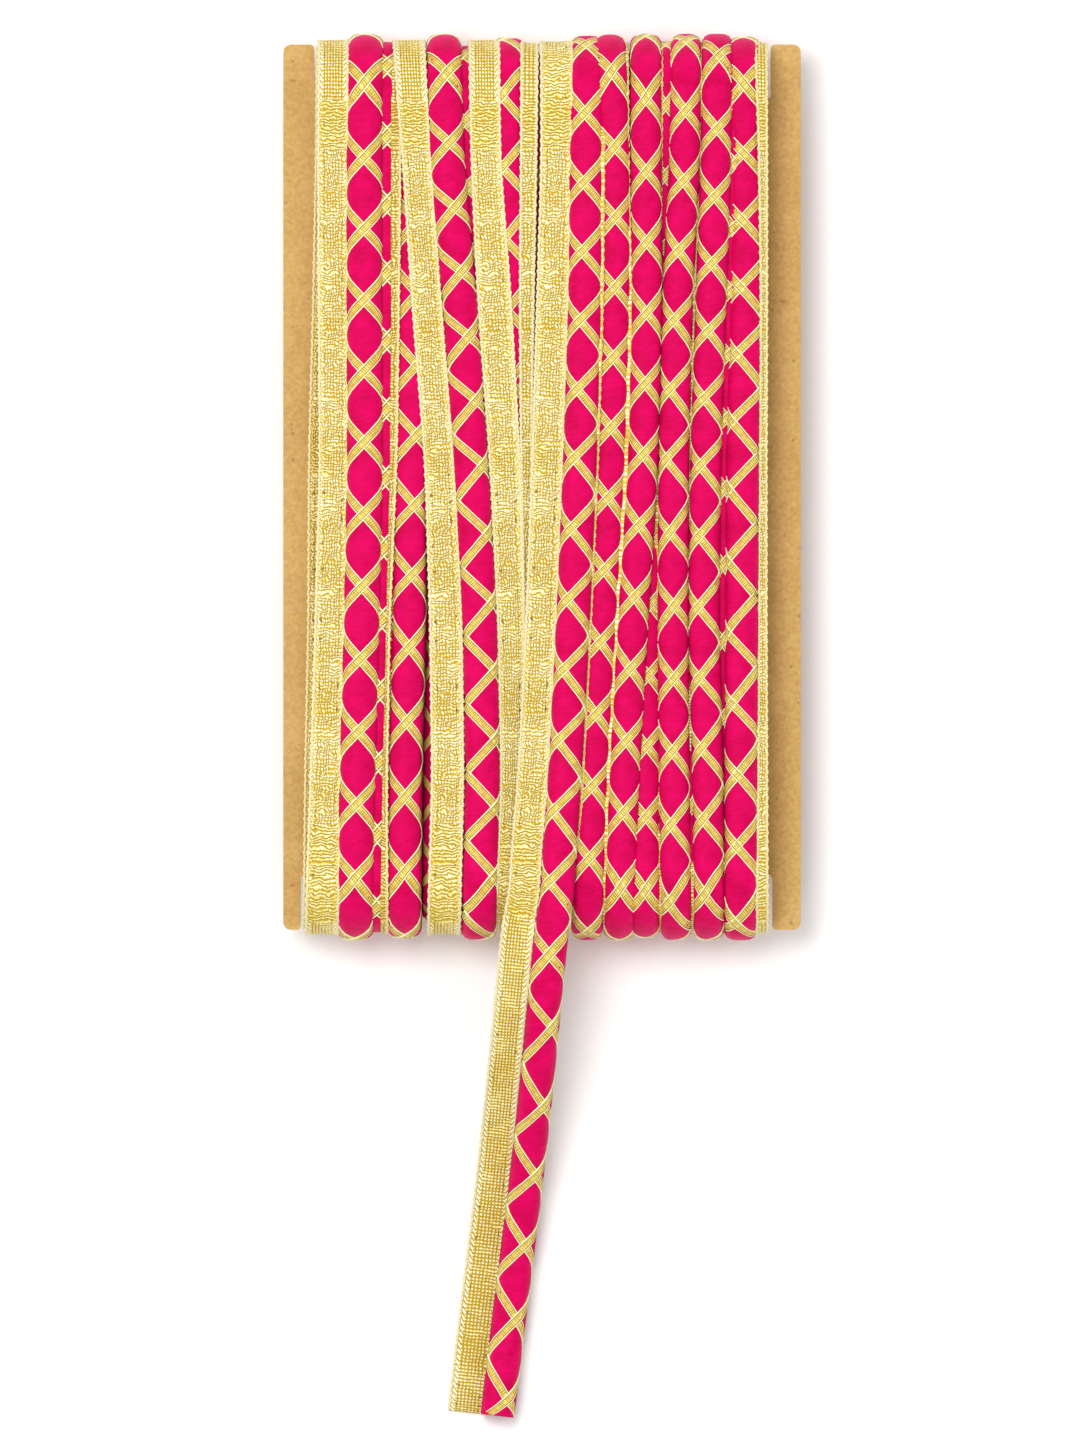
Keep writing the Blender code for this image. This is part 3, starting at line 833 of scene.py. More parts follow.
@dataclass
class WovenTape:
    """The flat woven tape beside a piping, and the corded selvedge along each of its edges."""

    lay: Lay
    outer: tuple[np.ndarray, np.ndarray]
    inner: tuple[np.ndarray, np.ndarray]
    columns: int = FULL_COLUMNS
    selvedge_radius: float = 0.27
    knobbly: float = 0.38
    bead: float = 0.80

    def edge(self, which: tuple[np.ndarray, np.ndarray], along: np.ndarray) -> tuple[np.ndarray, np.ndarray]:
        """How far to the right of the centre line and out from it one edge lies, inside its selvedge."""
        route = self.lay.route
        inset = self.selvedge_radius * (1.0 if which is self.outer else -1.0) * (-1.0 if self.lay.flipped else 1.0)
        side = np.interp(along, route.along, which[0], period=route.period) + inset
        up = np.interp(along, route.along, which[1], period=route.period)
        return side, up

    def surface(self, along: np.ndarray, share: np.ndarray) -> np.ndarray:
        """Return places on the tape's top at shares of the way from its outer edge to its inner one."""
        outer_side, outer_up = self.edge(self.outer, along)
        inner_side, inner_up = self.edge(self.inner, along)
        side = outer_side + (inner_side - outer_side) * share
        up = outer_up + (inner_up - outer_up) * share
        swell = 0.10 * np.sin(along / 5.3 + 2.0 * share) * np.sin(math.pi * share)
        ripple = 0.05 * np.sin(along / 1.9 + 4.0 * np.sin(along / 11.0))
        return self.lay.route.place(along, side, up + swell + ripple * np.sin(math.pi * share))

    def build(self, weaver: Weaver, rows: np.ndarray, name: str) -> bpy.types.Object:
        """Make the tape over these rows, with its thickness.

        Args:
            weaver: What makes the mesh.
            rows: The places along the route of the tape's rows.
            name: The piece's name.

        Returns:
            The tape.
        """
        along, share = np.meshgrid(rows, np.linspace(0.0, 1.0, self.columns + 1), indexing="ij")
        places = self.surface(along, share)
        width = float(np.linalg.norm(places[:, -1] - places[:, 0], axis=1).mean())
        width = TAPE_WIDTH if self.columns >= FULL_COLUMNS else width
        skin = np.stack([width * (share - 0.5), along], axis=-1)
        facing = float(np.interp(0.5 * (rows[0] + rows[-1]), self.lay.route.along, self.inner[0] - self.outer[0]))
        piece = weaver.grid(name, in_frame(places), skin)
        if facing < 0:
            piece.data.flip_normals()
        thickness = piece.modifiers.new("thickness", "SOLIDIFY")
        thickness.thickness = TAPE_THICK * MM
        thickness.offset = -1.0
        bpy.ops.object.select_all(action="DESELECT")
        bpy.context.view_layer.objects.active = piece
        piece.select_set(True)
        bpy.ops.object.modifier_apply(modifier="thickness")
        self.rest(piece)
        piece.data.set_sharp_from_angle(angle=SHARP)
        return piece

    def rest(self, piece: bpy.types.Object) -> None:
        """Keep the tape's underside off the surface's far side."""
        mesh = piece.data
        flat = np.empty(len(mesh.vertices) * 3, np.float32)
        mesh.vertices.foreach_get("co", flat)
        flat[2::3] = np.maximum(flat[2::3], 0.0)
        mesh.vertices.foreach_set("co", flat)

    def selvedges(self, weaver: Weaver, start: float, end: float, name: str, shares: tuple[float, ...]) -> bpy.types.Object:
        """Make the beaded cord along the tape's edges.

        Args:
            weaver: What makes the mesh.
            start: Where the cords start along the route.
            end: Where they end.
            name: The piece's name.
            shares: The edges, as shares of the way from the outer one to the inner one.

        Returns:
            The cords as one piece.
        """
        steps = int((end - start) / (self.bead / 3.0))
        along = np.linspace(start, end, steps)[:, None]
        turn = np.linspace(0.0, 2 * math.pi, 6, endpoint=False)[None, :]
        rings, skins = [], []
        for share in shares:
            phase = np.sin(math.pi * along / self.bead + share)
            radius = self.selvedge_radius * (1.06 + self.knobbly * (np.abs(phase) - 0.64))
            outer_side, outer_up = self.edge(self.outer, along)
            inner_side, inner_up = self.edge(self.inner, along)
            side = outer_side + (inner_side - outer_side) * share + 0.06 * np.sign(phase)
            up = outer_up + (inner_up - outer_up) * share - 0.05
            places = self.lay.route.place(along, side + radius * np.sin(turn), up + radius * np.cos(turn))
            rings.append(in_frame(places))
            skins.append(np.stack(np.broadcast_arrays(turn * self.selvedge_radius, along), axis=-1))
        return weaver.tubes(name, np.array(rings), np.array(skins))


@dataclass
class Shading:
    """A material's nodes, with short calls for the ones that these finishes need."""

    name: str
    material: bpy.types.Material = field(init=False)
    shader: bpy.types.ShaderNode = field(init=False)

    def __post_init__(self) -> None:
        """Start a material with its Principled shader."""
        self.material = bpy.data.materials.new(self.name)
        self.material.use_nodes = True
        self.shader = self.material.node_tree.nodes["Principled BSDF"]

    def link(self, source: bpy.types.NodeSocket | float | tuple, target: bpy.types.NodeSocket) -> None:
        """Link a socket, or set a value."""
        if isinstance(source, bpy.types.NodeSocket):
            self.material.node_tree.links.new(source, target)
        else:
            target.default_value = source

    def node(self, kind: str, *inputs: object, **settings: object) -> bpy.types.ShaderNode:
        """Add a node, with its settings and its inputs in order. None leaves an input as it is."""
        made = self.material.node_tree.nodes.new(kind)
        for key, value in settings.items():
            setattr(made, key, value)
        for value, socket in zip(inputs, made.inputs):
            if value is not None:
                self.link(value, socket)
        return made

    def math(self, operation: str, a: object, b: object = None, c: object = None) -> bpy.types.NodeSocket:
        """Add a Math node and return its result."""
        return self.node("ShaderNodeMath", a, b, c, operation=operation).outputs[0]

    def skin(self, layer: str = "Skin") -> tuple[bpy.types.NodeSocket, bpy.types.NodeSocket, bpy.types.NodeSocket]:
        """Read a UV map: the whole vector, and its two parts."""
        read = self.node("ShaderNodeUVMap", uv_map=layer).outputs[0]
        split = self.node("ShaderNodeSeparateXYZ", read)
        return read, split.outputs[0], split.outputs[1]

    def noise(self, vector: bpy.types.NodeSocket, scale: float, detail: float = 2.0) -> bpy.types.NodeSocket:
        """Add a noise texture and return its value."""
        made = self.node("ShaderNodeTexNoise", noise_dimensions="3D")
        self.link(vector, made.inputs["Vector"])
        made.inputs["Scale"].default_value = scale
        made.inputs["Detail"].default_value = detail
        return made.outputs["Fac"]

    def waves(self, value: bpy.types.NodeSocket, pitch: float) -> bpy.types.NodeSocket:
        """Turn a distance into humps of this pitch, from 0 to 1."""
        return self.math("ABSOLUTE", self.math("SINE", self.math("MULTIPLY", value, math.pi / pitch)))

    def ramp(self, value: bpy.types.NodeSocket, *stops: tuple[float, tuple[float, float, float]]) -> bpy.types.NodeSocket:
        """Turn a value into a colour through a short ramp."""
        made = self.node("ShaderNodeValToRGB", value)
        elements = made.color_ramp.elements
        for index, (place, colour) in enumerate(stops):
            element = elements[index] if index < 2 else elements.new(place)
            element.position = place
            element.color = (*colour, 1.0)
        return made.outputs[0]

    def mix(self, share: object, a: object, b: object) -> bpy.types.NodeSocket:
        """Mix two colours."""
        made = self.node("ShaderNodeMix", data_type="RGBA")
        self.link(share, made.inputs[0])
        self.link(a, made.inputs[6])
        self.link(b, made.inputs[7])
        return made.outputs[2]

    def bump(self, height: bpy.types.NodeSocket, strength: float, distance: float) -> None:
        """Raise the surface by a height, to a distance in millimetres."""
        made = self.node("ShaderNodeBump")
        made.inputs["Strength"].default_value = strength
        made.inputs["Distance"].default_value = distance * MM
        self.link(height, made.inputs["Height"])
        self.link(made.outputs[0], self.shader.inputs["Normal"])

    def surface(self, colour: object, roughness: object, metallic: float, specular: float) -> None:
        """Set the shader's main values."""
        self.link(colour, self.shader.inputs["Base Color"])
        self.link(roughness, self.shader.inputs["Roughness"])
        self.shader.inputs["Metallic"].default_value = metallic
        self.shader.inputs["Specular IOR Level"].default_value = specular


@dataclass(frozen=True)
class WovenGold:
    """Metallic yarn woven in cream beads over gold, in ribs where the tape is strained, with chained edges. Its colour
    carries painted shade in the recesses, painted highlights and glints on the beads, and painted shade where the tape
    turns over the card's ends.
    """

    column: float = 0.62
    rib: float = 0.62
    recess_shade: tuple[float, float, float] = (0.52, 0.325, 0.016)
    yarn: tuple[float, float, float] = (0.80, 0.64, 0.105)
    bead: tuple[float, float, float] = (0.94, 0.935, 0.72)
    hole: tuple[float, float, float] = (0.20, 0.10, 0.015)
    chain_middle: float = 2.52
    chain_half: float = 0.26
    chain: float = 1.05
    name: str = "woven_gold"

    def build(self) -> bpy.types.Material:
        """Return the material."""
        sheet = Shading(self.name)
        skin, across, along = sheet.skin()
        from_middle = sheet.math("ABSOLUTE", across)
        hanging = sheet.math("GREATER_THAN", along, STRAIGHT + 9.0)
        wander = sheet.math("SUBTRACT", sheet.noise(skin, 0.55), 0.5)
        wander = sheet.math("MULTIPLY", wander, sheet.math("MULTIPLY_ADD", hanging, -0.75, 1.0))
        shifted = sheet.math("MULTIPLY_ADD", wander, 1.5, across)
        waved = sheet.math("MULTIPLY_ADD", wander, 2.0, along)
        ribs, columns = sheet.waves(waved, self.rib), sheet.waves(shifted, self.column)
        patch = sheet.ramp(sheet.noise(skin, 0.26), (0.38, (0.45,) * 3), (0.50, (1.0,) * 3))
        strained_and_shaded = sheet.math("SUBTRACT", sheet.math("ABSOLUTE", sheet.math("SUBTRACT", along, BEND_Y)), BEND_Y)
        strained_and_shaded = sheet.math("COMPARE", strained_and_shaded, 0.0, 9.0)
        beaded = sheet.math("MULTIPLY", patch, sheet.math("MULTIPLY_ADD", strained_and_shaded, -0.7, 1.0))
        grid = sheet.math("MULTIPLY", ribs, sheet.math("MULTIPLY_ADD", sheet.math("SUBTRACT", columns, 1.0), beaded, 1.0))
        slanted = sheet.math("MULTIPLY_ADD", from_middle, 1.3, along)
        chains = sheet.math("MULTIPLY_ADD", sheet.waves(slanted, self.chain), 0.85, 0.15)
        edge = sheet.math("COMPARE", from_middle, self.chain_middle, self.chain_half)
        edge = sheet.math("MULTIPLY", edge, sheet.math("MULTIPLY_ADD", hanging, 0.55, 0.45))
        height = sheet.math("ADD", grid, sheet.math("MULTIPLY", edge, sheet.math("SUBTRACT", chains, grid)))
        # Painted glints, along with the yarn's own uneven tone: fine noise brightens and darkens the beads.
        tone = sheet.math("MULTIPLY", sheet.math("SUBTRACT", sheet.noise(skin, 1.9, 1.0), 0.5), 0.9)
        cloud = sheet.math("MULTIPLY", sheet.math("SUBTRACT", sheet.noise(skin, 0.13), 0.5), 0.5)
        lit = sheet.math("ADD", sheet.math("ADD", height, tone), cloud)
        # Painted shade: darker where the tape turns over the card's ends. The loose end is also made a little darker.
        lit = sheet.math("MULTIPLY_ADD", hanging, -0.10, sheet.math("MULTIPLY_ADD", strained_and_shaded, -0.20, lit))
        # Painted light and shade: the colour follows the weave's height, with painted shade in the recesses and a
        # painted highlight on the cream beads.
        colour = sheet.ramp(lit, (0.18, self.recess_shade), (0.84, self.bead), (0.50, self.yarn))
        beside_chain = sheet.math("COMPARE", from_middle, self.chain_middle - 0.5, 0.3)
        holes = sheet.math("MULTIPLY", beside_chain, sheet.math("GREATER_THAN", sheet.noise(skin, 0.85, 1.0), 0.66))
        colour = sheet.mix(sheet.math("MULTIPLY", holes, 0.75), colour, (*self.hole, 1.0))
        sheet.surface(colour, 0.5, 0.1, 0.25)
        sheet.bump(height, 0.9, 0.20)
        return sheet.material


@dataclass(frozen=True)
class SelvedgeYarn:
    """The twisted yarn at a tape's edges, its twist painted in light and shade: cream where it lies open, and a darker
    golden copy, painted in shade, where it is pushed into a valley.
    """

    name: str
    shade: tuple[float, float, float]
    light: tuple[float, float, float]

    def build(self) -> bpy.types.Material:
        """Return the material."""
        sheet = Shading(self.name)
        skin, across, along = sheet.skin()
        twist = sheet.waves(sheet.math("ADD", along, across), 0.55)
        lit = sheet.math("MULTIPLY_ADD", sheet.math("SUBTRACT", sheet.noise(skin, 1.3), 0.5), 0.9, twist)
        # Painted light and shade: the twist's plies are painted lighter and darker along the cord.
        colour = sheet.ramp(lit, (0.12, self.shade), (0.62, self.light))
        sheet.surface(colour, 0.45, 0.1, 0.4)
        sheet.bump(twist, 0.6, 0.08)
        return sheet.material


@dataclass(frozen=True)
class RibbonGold:
    """Flat ribbon: cream edge threads, a brown line inside each, and a golden middle with small bright stitches."""

    thread: tuple[float, float, float] = (0.88, 0.91, 0.52)
    line: tuple[float, float, float] = (0.30, 0.135, 0.012)
    middle: tuple[float, float, float] = (0.44, 0.235, 0.016)
    stitch: tuple[float, float, float] = (0.84, 0.74, 0.17)
    tint: tuple[float, float, float] = (0.66, 0.20, 0.055)
    thread_from: float = 0.60
    line_from: float = 0.44

    def build(self) -> bpy.types.Material:
        """Return the material."""
        sheet = Shading("ribbon_gold")
        skin, across, along = sheet.skin()
        from_middle = sheet.math("ABSOLUTE", across)
        rows = sheet.waves(along, 0.46)
        columns = sheet.waves(sheet.math("ADD", across, 0.19), 0.38)
        spread = sheet.math("SUBTRACT", sheet.noise(skin, 0.8), 0.5)
        stitches = sheet.math("MULTIPLY_ADD", spread, 1.1, sheet.math("MULTIPLY", rows, columns))
        middle = sheet.ramp(stitches, (0.12, self.middle), (0.55, self.stitch))
        tinted = sheet.ramp(sheet.noise(skin, 0.33), (0.50, (0.0,) * 3), (0.64, (0.6,) * 3))
        middle = sheet.mix(tinted, middle, (*self.tint, 1.0))
        lined = sheet.mix(sheet.math("GREATER_THAN", from_middle, self.line_from), middle, (*self.line, 1.0))
        colour = sheet.mix(sheet.math("GREATER_THAN", from_middle, self.thread_from), lined, (*self.thread, 1.0))
        sheet.surface(colour, 0.5, 0.1, 0.25)
        sheet.bump(sheet.math("MULTIPLY", rows, columns), 0.5, 0.10)
        return sheet.material


@dataclass(frozen=True)
class PinkSatin:
    """Hot pink satin drawn round the cord, finely creased across it, its creases painted lighter and darker and its
    flanks darkened with painted shade towards the crevices between pipings. A painted net stands in on turns that
    hardly show.
    """

    light: tuple[float, float, float] = (0.66, 0.0012, 0.103)
    shade: tuple[float, float, float] = (0.50, 0.0008, 0.060)
    painted_crevice_shade: tuple[float, float, float] = (0.22, 0.0004, 0.022)
    gold: tuple[float, float, float] = (0.64, 0.44, 0.11)
    painted_net: bool = False

    def build(self) -> bpy.types.Material:
        """Return the material."""
        sheet = Shading("pink_satin_netted" if self.painted_net else "pink_satin")
        skin, across, along = sheet.skin()
        slant = sheet.math("MULTIPLY_ADD", across, 0.30, along)
        stretched = sheet.node("ShaderNodeCombineXYZ", sheet.math("MULTIPLY", across, 0.28), slant).outputs[0]
        creases = sheet.noise(stretched, 2.2, 3.0)
        soft = sheet.noise(skin, 0.30)
        blended = sheet.math("MULTIPLY_ADD", creases, 0.45, sheet.math("MULTIPLY", soft, 0.55))
        # Painted light and shade: the creases and softer patches are painted in a lighter and a darker pink, besides
        # the creases' bump.
        colour = sheet.ramp(blended, (0.36, self.shade), (0.62, self.light))
        # Painted shade: the pink darkens down each flank, towards the crevices between the pipings.
        down_side = sheet.math("MULTIPLY", sheet.math("ABSOLUTE", across), 0.1)
        painted_flank_shade = sheet.ramp(down_side, (0.28, (0.0,) * 3), (0.45, (1.0,) * 3))
        colour = sheet.mix(sheet.math("MULTIPLY", painted_flank_shade, 0.7), colour, (*self.painted_crevice_shade, 1.0))
        height = creases
        if self.painted_net:
            _, share, number = sheet.skin("Net")
            gold = None
            for operation in ("ADD", "SUBTRACT"):
                apart = sheet.math("FRACT", sheet.math("ADD", sheet.math(operation, number, share), 100.5))
                apart = sheet.math("ABSOLUTE", sheet.math("SUBTRACT", apart, 0.5))
                line = sheet.math("LESS_THAN", apart, 0.075)
                gold = line if gold is None else sheet.math("MAXIMUM", gold, line)
            colour = sheet.mix(gold, colour, (*self.gold, 1.0))
            height = sheet.math("MULTIPLY_ADD", gold, 2.0, creases)
        sheet.surface(colour, 0.55, 0.0, 0.12)
        sheet.shader.inputs["Specular Tint"].default_value = (1.0, 0.25, 0.5, 1.0)
        sheet.shader.inputs["Sheen Weight"].default_value = 0.10
        sheet.shader.inputs["Sheen Roughness"].default_value = 0.4
        sheet.shader.inputs["Sheen Tint"].default_value = (1.0, 0.12, 0.35, 1.0)
        sheet.bump(height, 0.35, 0.10)
        return sheet.material


@dataclass(frozen=True)
class KraftBoard:
    """Brown board with a fine mottle, short fibres and a few dark specks."""

    pale: tuple[float, float, float] = (0.62, 0.40, 0.145)
    dark: tuple[float, float, float] = (0.49, 0.295, 0.092)
    speck: tuple[float, float, float] = (0.28, 0.15, 0.05)

    def build(self) -> bpy.types.Material:
        """Return the material."""
        sheet = Shading("kraft_board")
        place = sheet.node("ShaderNodeTexCoord").outputs["Object"]
        mottle = sheet.noise(place, 1500.0, 4.0)
        clouds = sheet.noise(place, 120.0, 3.0)
        blended = sheet.math("MULTIPLY_ADD", clouds, 0.35, sheet.math("MULTIPLY", mottle, 0.65))
        colour = sheet.ramp(blended, (0.36, self.dark), (0.64, self.pale))
        specks = sheet.ramp(sheet.noise(place, 620.0, 1.0), (0.71, (0.0,) * 3), (0.77, (1.0,) * 3))
        colour = sheet.mix(sheet.math("MULTIPLY", specks, 0.6), colour, (*self.speck, 1.0))
        sheet.surface(colour, 0.9, 0.0, 0.15)
        sheet.bump(mottle, 0.25, 0.08)
        return sheet.material


@dataclass(frozen=True)
class StudioWhite:
    """The plain pale surface that the trim lies on."""

    tone: float = 0.93

    def build(self) -> bpy.types.Material:
        """Return the material."""
        sheet = Shading("studio_white")
        place = sheet.node("ShaderNodeTexCoord").outputs["Object"]
        grain = sheet.noise(place, 40.0)
        low = (self.tone - 0.01,) * 3
        sheet.surface(sheet.ramp(grain, (0.3, low), (0.7, (self.tone,) * 3)), 0.9, 0.0, 0.0)
        return sheet.material


@dataclass
class Finishes:
    """Every material of the part, made once."""

    weave: bpy.types.Material
    pressed_and_shaded: bpy.types.Material
    selvedge: bpy.types.Material
    warm: bpy.types.Material
    twist: bpy.types.Material
    ribbon: bpy.types.Material
    satin: bpy.types.Material
    netted: bpy.types.Material
    board: bpy.types.Material


@dataclass
class Studio:
    """The camera, the floor and the light."""

    distance: float = 8.0
    frame_height: float = 0.26643
    focus_height: float = 0.018
    centre: tuple[float, float] = (0.00018, 0.00015)
    sensor: float = 36.0
    key_place: tuple[float, float, float] = (-0.26, 0.24, 1.12)
    key_size: float = 0.56
    key_power: float = 7.6
    sky: float = 0.87
    floor_half: float = 2.0

    def camera(self) -> None:
        """Look straight down on the part, as the photograph does."""
        data = bpy.data.cameras.new("camera")
        data.sensor_width = self.sensor
        data.lens = self.sensor * self.distance / self.frame_height
        data.clip_end = 20.0
        camera = bpy.data.objects.new("camera", data)
        camera.location = (*self.centre, self.focus_height + self.distance)
        bpy.context.scene.collection.objects.link(camera)
        bpy.context.scene.camera = camera

    def floor(self) -> None:
        """Lay the pale surface, a hair below the part."""
        bpy.ops.object.select_all(action="DESELECT")
        bpy.ops.mesh.primitive_plane_add(size=2 * self.floor_half, location=(0.0, 0.0, -0.00002))
        floor = bpy.context.object
        floor.name = "floor"
        floor.data.materials.append(StudioWhite().build())

    def light(self) -> None:
        """Light it with one soft lamp from the upper left and a pale sky."""
        data = bpy.data.lights.new("key", "AREA")
        data.shape = "DISK"
        data.size = self.key_size
        data.energy = self.key_power
        key = bpy.data.objects.new("key", data)
        key.location = self.key_place
        bpy.context.scene.collection.objects.link(key)
        key.rotation_mode = "QUATERNION"
        key.rotation_quaternion = key.location.to_track_quat("Z", "Y")
        world = bpy.data.worlds.new("sky")
        world.use_nodes = True
        background = world.node_tree.nodes["Background"]
        background.inputs[0].default_value = (1.0, 1.0, 1.0, 1.0)
        background.inputs[1].default_value = self.sky
        bpy.context.scene.world = world
        bpy.context.scene.view_settings.view_transform = "Standard"


@dataclass
class Pack:
    """All the turns that are wound round the card."""

    weaver: Weaver
    finishes: Finishes

    def build(self) -> None:
        """Build every turn, then the turns beneath them."""
        for turn in TURNS:
            self.turn(turn)
        self.beneath()

    def turn(self, turn: Turn) -> None:
        """Build one turn's piping, net and tape."""
        lay = wound_lay(turn)
        rows = rows_along(0.0, ONE_TURN)
        piping = Piping(lay).build(self.weaver, rows, f"turn_{turn.name}_piping")
        self.weaver.dress(piping, self.finishes.satin, Finish.PIPING, "wound_trim")
        if turn.net:
            ribbons = RibbonNet(lay, width=turn.ribbon)
            net = ribbons.build(self.weaver, 0.0, ONE_TURN, f"turn_{turn.name}_net")
            self.weaver.dress(net, self.finishes.ribbon, Finish.GOLD, "wound_trim")
        if turn.tape:
            self.tape(turn, lay, rows)

    def tape(self, turn: Turn, lay: Lay, rows: np.ndarray) -> None:
        """Build one turn's tape and selvedges."""
        along = lay.route.along
        centre = smoothed(closed_across(along, turn.piping), ROUTE_SMOOTHING, True)
        level = smoothed(closed_level(along, turn.level), ROUTE_SMOOTHING / 2, True)
        edges = []
        for places, heights in ((turn.tape.outer, turn.tape.outer_level), (turn.tape.inner, turn.tape.inner_level)):
            side = smoothed(closed_across(along, places), ROUTE_SMOOTHING, True) - centre
            up = smoothed(closed_level(along, heights), ROUTE_SMOOTHING / 2, True) - level
            edges.append((side, up))
        tucked = turn.tape.cords == (0.0,)
        shape = {"selvedge_radius": 0.15, "knobbly": 0.10} if tucked else {}
        woven = WovenTape(lay, *edges, columns=turn.tape.columns, **shape)
        tape = woven.build(self.weaver, rows, f"turn_{turn.name}_tape")
        # Pressed-in tapes take the darker copy of the woven gold, painted in shade.
        weave = self.finishes.pressed_and_shaded if turn.tape.pressed_and_shaded else self.finishes.weave
        self.weaver.dress(tape, weave, Finish.GOLD, "wound_trim")
        cords = woven.selvedges(self.weaver, -14.0, STRAIGHT + 14.0, f"turn_{turn.name}_selvedges", turn.tape.cords)
        warm = turn.flipped or turn.tape.pressed_and_shaded
        yarn = self.finishes.twist if tucked else self.finishes.warm if warm else self.finishes.selvedge
        self.weaver.dress(cords, yarn, Finish.GOLD, "wound_trim")

    def beneath(self) -> None:
        """Build the layer beneath, plain: pipings side by side that fill what shows between the turns."""
        for index, x in enumerate(np.linspace(-38.0, 38.0, 13)):
            low = Turn(
                f"beneath_{index + 1}",
                (float(x),) * 7,
                (4.6, 3.0, 3.0, 3.0, 4.6, 3.4),
                net=Net(70.0, 0.0, -70.0, 12),
            )
            lay = wound_lay(low)
            piping = Piping(lay, top_steps=8, under_steps=3)
            rows = np.arange(0.0, ONE_TURN + 1.0, ONE_TURN / 120)
            piece = piping.build(self.weaver, rows[:121], f"turn_{low.name}")
            self.weaver.dress(piece, self.finishes.netted, Finish.PIPING, "wound_trim")


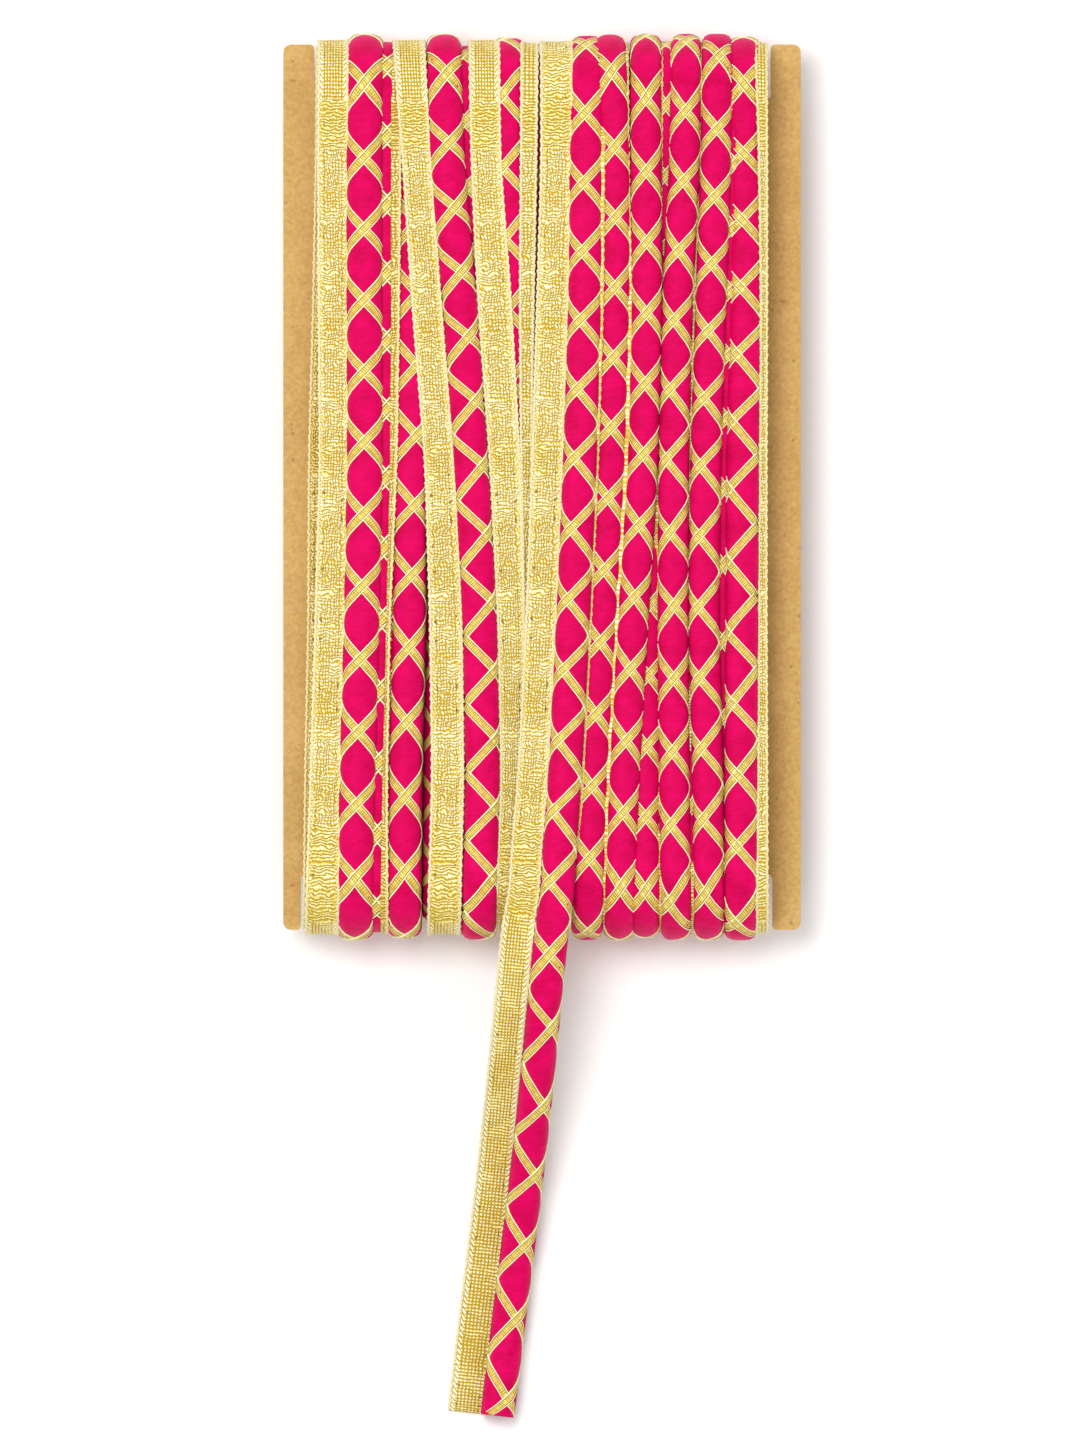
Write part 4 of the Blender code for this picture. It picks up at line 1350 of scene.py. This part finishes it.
@dataclass
class LastTurn:
    """The turn that lies over the others, and the loose end that it runs into."""

    weaver: Weaver
    finishes: Finishes
    end_of_pack: float = BEND_Y + 79.8

    def lay(self) -> Lay:
        """Lay the last turn and its loose end as one line."""
        wound = np.arange(LAST_START, STRAIGHT + 4.0, SAMPLE_STEP)
        y, out_y, out_z = racetrack(wound, straight_on=True)
        reach = CORE_HALF + np.interp(wound, LAST_LEVEL_PLACES, LAST_LEVELS)
        centre = np.stack([self.across(wound, LAST_PIPING), y + out_y * reach, CARD_Z + out_z * reach], axis=1)
        out = np.stack([np.zeros_like(y), out_y, out_z], axis=1)
        loose = np.array(LOOSE_ROUTE)
        gap = np.linalg.norm(loose[0] - centre[-1])
        steps = np.linalg.norm(np.diff(loose, axis=0), axis=1)
        keys = np.concatenate([wound, wound[-1] + gap + np.concatenate([[0.0], np.cumsum(steps)])])
        samples = np.arange(LAST_START, keys[-1], SAMPLE_STEP)
        every = np.concatenate([centre, loose])
        upward = np.tile([0.0, 0.0, 1.0], (len(loose), 1))
        outs = np.concatenate([out, upward])
        line = np.stack([smoothed(np.interp(samples, keys, every[:, a]), 12.0, False) for a in range(3)], axis=1)
        ways = np.stack([np.interp(samples, keys, outs[:, a]) for a in range(3)], axis=1)
        roll_places = [self.along(y) for y, _ in LAST_ROLL]
        roll = (np.array(roll_places), np.array([angle for _, angle in LAST_ROLL]))
        places, numbers = LAST_NET.keys()
        pitch = (places[-1] - places[0]) / (numbers[-1] - numbers[0])
        before = places[0] - pitch * 24
        loose_places = [self.along(y) for y in LOOSE_CROSSINGS]
        beyond = loose_places[-1] + pitch * 6
        places = [before, *places, *loose_places, beyond]
        last = numbers[-1]
        numbers = [-24.0, *numbers, *(last + 1 + i for i in range(len(loose_places))), last + len(loose_places) + 6]
        return Lay("last", Route(samples, line, ways), roll, (np.array(places), np.array(numbers)))

    def across(self, along: np.ndarray, places: tuple[float, ...]) -> np.ndarray:
        """Lead the last turn across: its hidden start, the foot, the back, the head and the front."""
        front = [along_from_place(y) for y in LAST_STATIONS]
        head, foot = places[0], places[-1] - 1.0
        keys = [LAST_START, STRAIGHT + HALF_BEND - ONE_TURN, -HALF_BEND, *front]
        return smoothed(np.interp(along, keys, [foot, foot, head, *places]), ROUTE_SMOOTHING, False)

    def along(self, y: float) -> float:
        """Where a place on the front or the loose end lies along this turn."""
        if y >= -BEND_Y:
            return along_from_place(y)
        loose = np.array(((2.85, -71.2, 23.2), *LOOSE_ROUTE))
        steps = np.concatenate([[0.0], np.cumsum(np.linalg.norm(np.diff(loose, axis=0), axis=1))])
        return STRAIGHT + float(np.interp(-y, -loose[:, 1], steps))

    def build(self) -> None:
        """Build the wound part, then the loose end."""
        lay = self.lay()
        start, split, end = lay.route.along[0], self.end_of_pack, lay.route.along[-1]
        woven = self.woven(lay)
        wound_rows = rows_along(start, split)
        loose_rows = np.linspace(split, end, int(end - split) + 1)
        piping = Piping(lay)
        wound = piping.build(self.weaver, wound_rows, "last_turn_piping")
        self.weaver.dress(wound, self.finishes.satin, Finish.PIPING, "wound_trim")
        net = RibbonNet(lay).build(self.weaver, start + 20.0, split, "last_turn_net")
        self.weaver.dress(net, self.finishes.ribbon, Finish.GOLD, "wound_trim")
        tape = woven.build(self.weaver, wound_rows, "last_turn_tape")
        self.weaver.dress(tape, self.finishes.weave, Finish.GOLD, "wound_trim")
        cords = woven.selvedges(self.weaver, -14.0, split, "last_turn_selvedges", (0.0, 1.0))
        self.weaver.dress(cords, self.finishes.selvedge, Finish.GOLD, "wound_trim")
        self.loose_end(lay, woven, piping, loose_rows)

    def woven(self, lay: Lay) -> WovenTape:
        """Say how the tape lies beside the last turn and its loose end."""
        along, line = lay.route.along, lay.route.centre
        centre = self.across(along, LAST_PIPING)
        level = np.interp(along, LAST_LEVEL_PLACES, LAST_LEVELS)
        top = np.interp(along, LAST_TAPE_PLACES, LAST_TAPE_TOPS) - level
        sunk = np.clip((line[:, 2] - PIPING_RADIUS) / (LOOSE_ROUTE[0][2] - PIPING_RADIUS), 0.0, 1.0)
        on_loose = along > self.end_of_pack
        loose_top = 0.5 * sunk + (TAPE_THICK - PIPING_RADIUS) * (1.0 - sunk)
        up = smoothed(np.where(on_loose, loose_top, top), 12.0, False)
        outer = self.across(along, LAST_TAPE_OUTER) - centre
        inner = self.across(along, LAST_TAPE_INNER) - centre
        outer = smoothed(np.where(on_loose, -9.3, outer), 12.0, False)
        tucked = -np.sqrt(np.maximum(PIPING_RADIUS**2 - np.minimum(up, 0.0) ** 2, 1.0))
        inner = smoothed(np.where(on_loose, tucked, inner), 12.0, False)
        return WovenTape(lay, (outer, up), (inner, up + 0.1))

    def loose_end(self, lay: Lay, woven: WovenTape, piping: Piping, rows: np.ndarray) -> None:
        """Build the loose end: its piping, net, tape and selvedges."""
        start, end = float(rows[0]), float(rows[-1])
        cord = piping.build(self.weaver, rows, "loose_end_piping_cover")
        self.weaver.dress(cord, self.finishes.satin, Finish.PIPING, "loose_end_piping")
        net = RibbonNet(lay, wrap=0.9, cut_at=end - 0.5).build(self.weaver, start, end + 14.0, "loose_end_net")
        self.weaver.dress(net, self.finishes.ribbon, Finish.GOLD, "loose_end_piping")
        tape = woven.build(self.weaver, rows, "loose_end_woven_tape")
        self.weaver.dress(tape, self.finishes.weave, Finish.GOLD, "loose_end_tape")
        cords = woven.selvedges(self.weaver, start, end, "loose_end_selvedges", (0.0, 1.0))
        self.weaver.dress(cords, self.finishes.selvedge, Finish.GOLD, "loose_end_tape")
        path = in_frame(lay.route.read(lay.route.centre, rows))


def dress_card(board: bpy.types.Material) -> None:
    """Give the winding card its board."""
    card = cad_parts["winding_card"]
    card.data.materials.clear()
    card.data.materials.append(board)


def main() -> None:
    """Build the whole scene in order."""
    logging.basicConfig(level=logging.INFO, format="%(message)s")
    studio = Studio()
    studio.camera()
    studio.floor()
    studio.light()
    finishes = Finishes(
        weave=WovenGold().build(),
        # The darker woven gold: the same weave painted in shade, for tapes pressed in among the turns.
        pressed_and_shaded=WovenGold(
            recess_shade=(0.44, 0.25, 0.012), yarn=(0.70, 0.51, 0.06), bead=(0.90, 0.85, 0.52), name="pressed_shaded_gold"
        ).build(),
        selvedge=SelvedgeYarn("selvedge_cream", (0.60, 0.42, 0.09), (0.90, 0.84, 0.54)).build(),
        warm=SelvedgeYarn("selvedge_warm", (0.56, 0.37, 0.06), (0.92, 0.82, 0.42)).build(),
        # The same yarn painted darker, as shade, for cords that lie in the valleys.
        twist=SelvedgeYarn("selvedge_shaded_gold", (0.54, 0.36, 0.06), (0.78, 0.64, 0.22)).build(),
        ribbon=RibbonGold().build(),
        satin=PinkSatin().build(),
        netted=PinkSatin(painted_net=True).build(),
        board=KraftBoard().build(),
    )
    weaver = Weaver()
    dress_card(finishes.board)
    LastTurn(weaver, finishes).build()
    Pack(weaver, finishes).build()
    LOG.info("%d pieces", weaver.made)


if __name__ == "__main__":
    main()
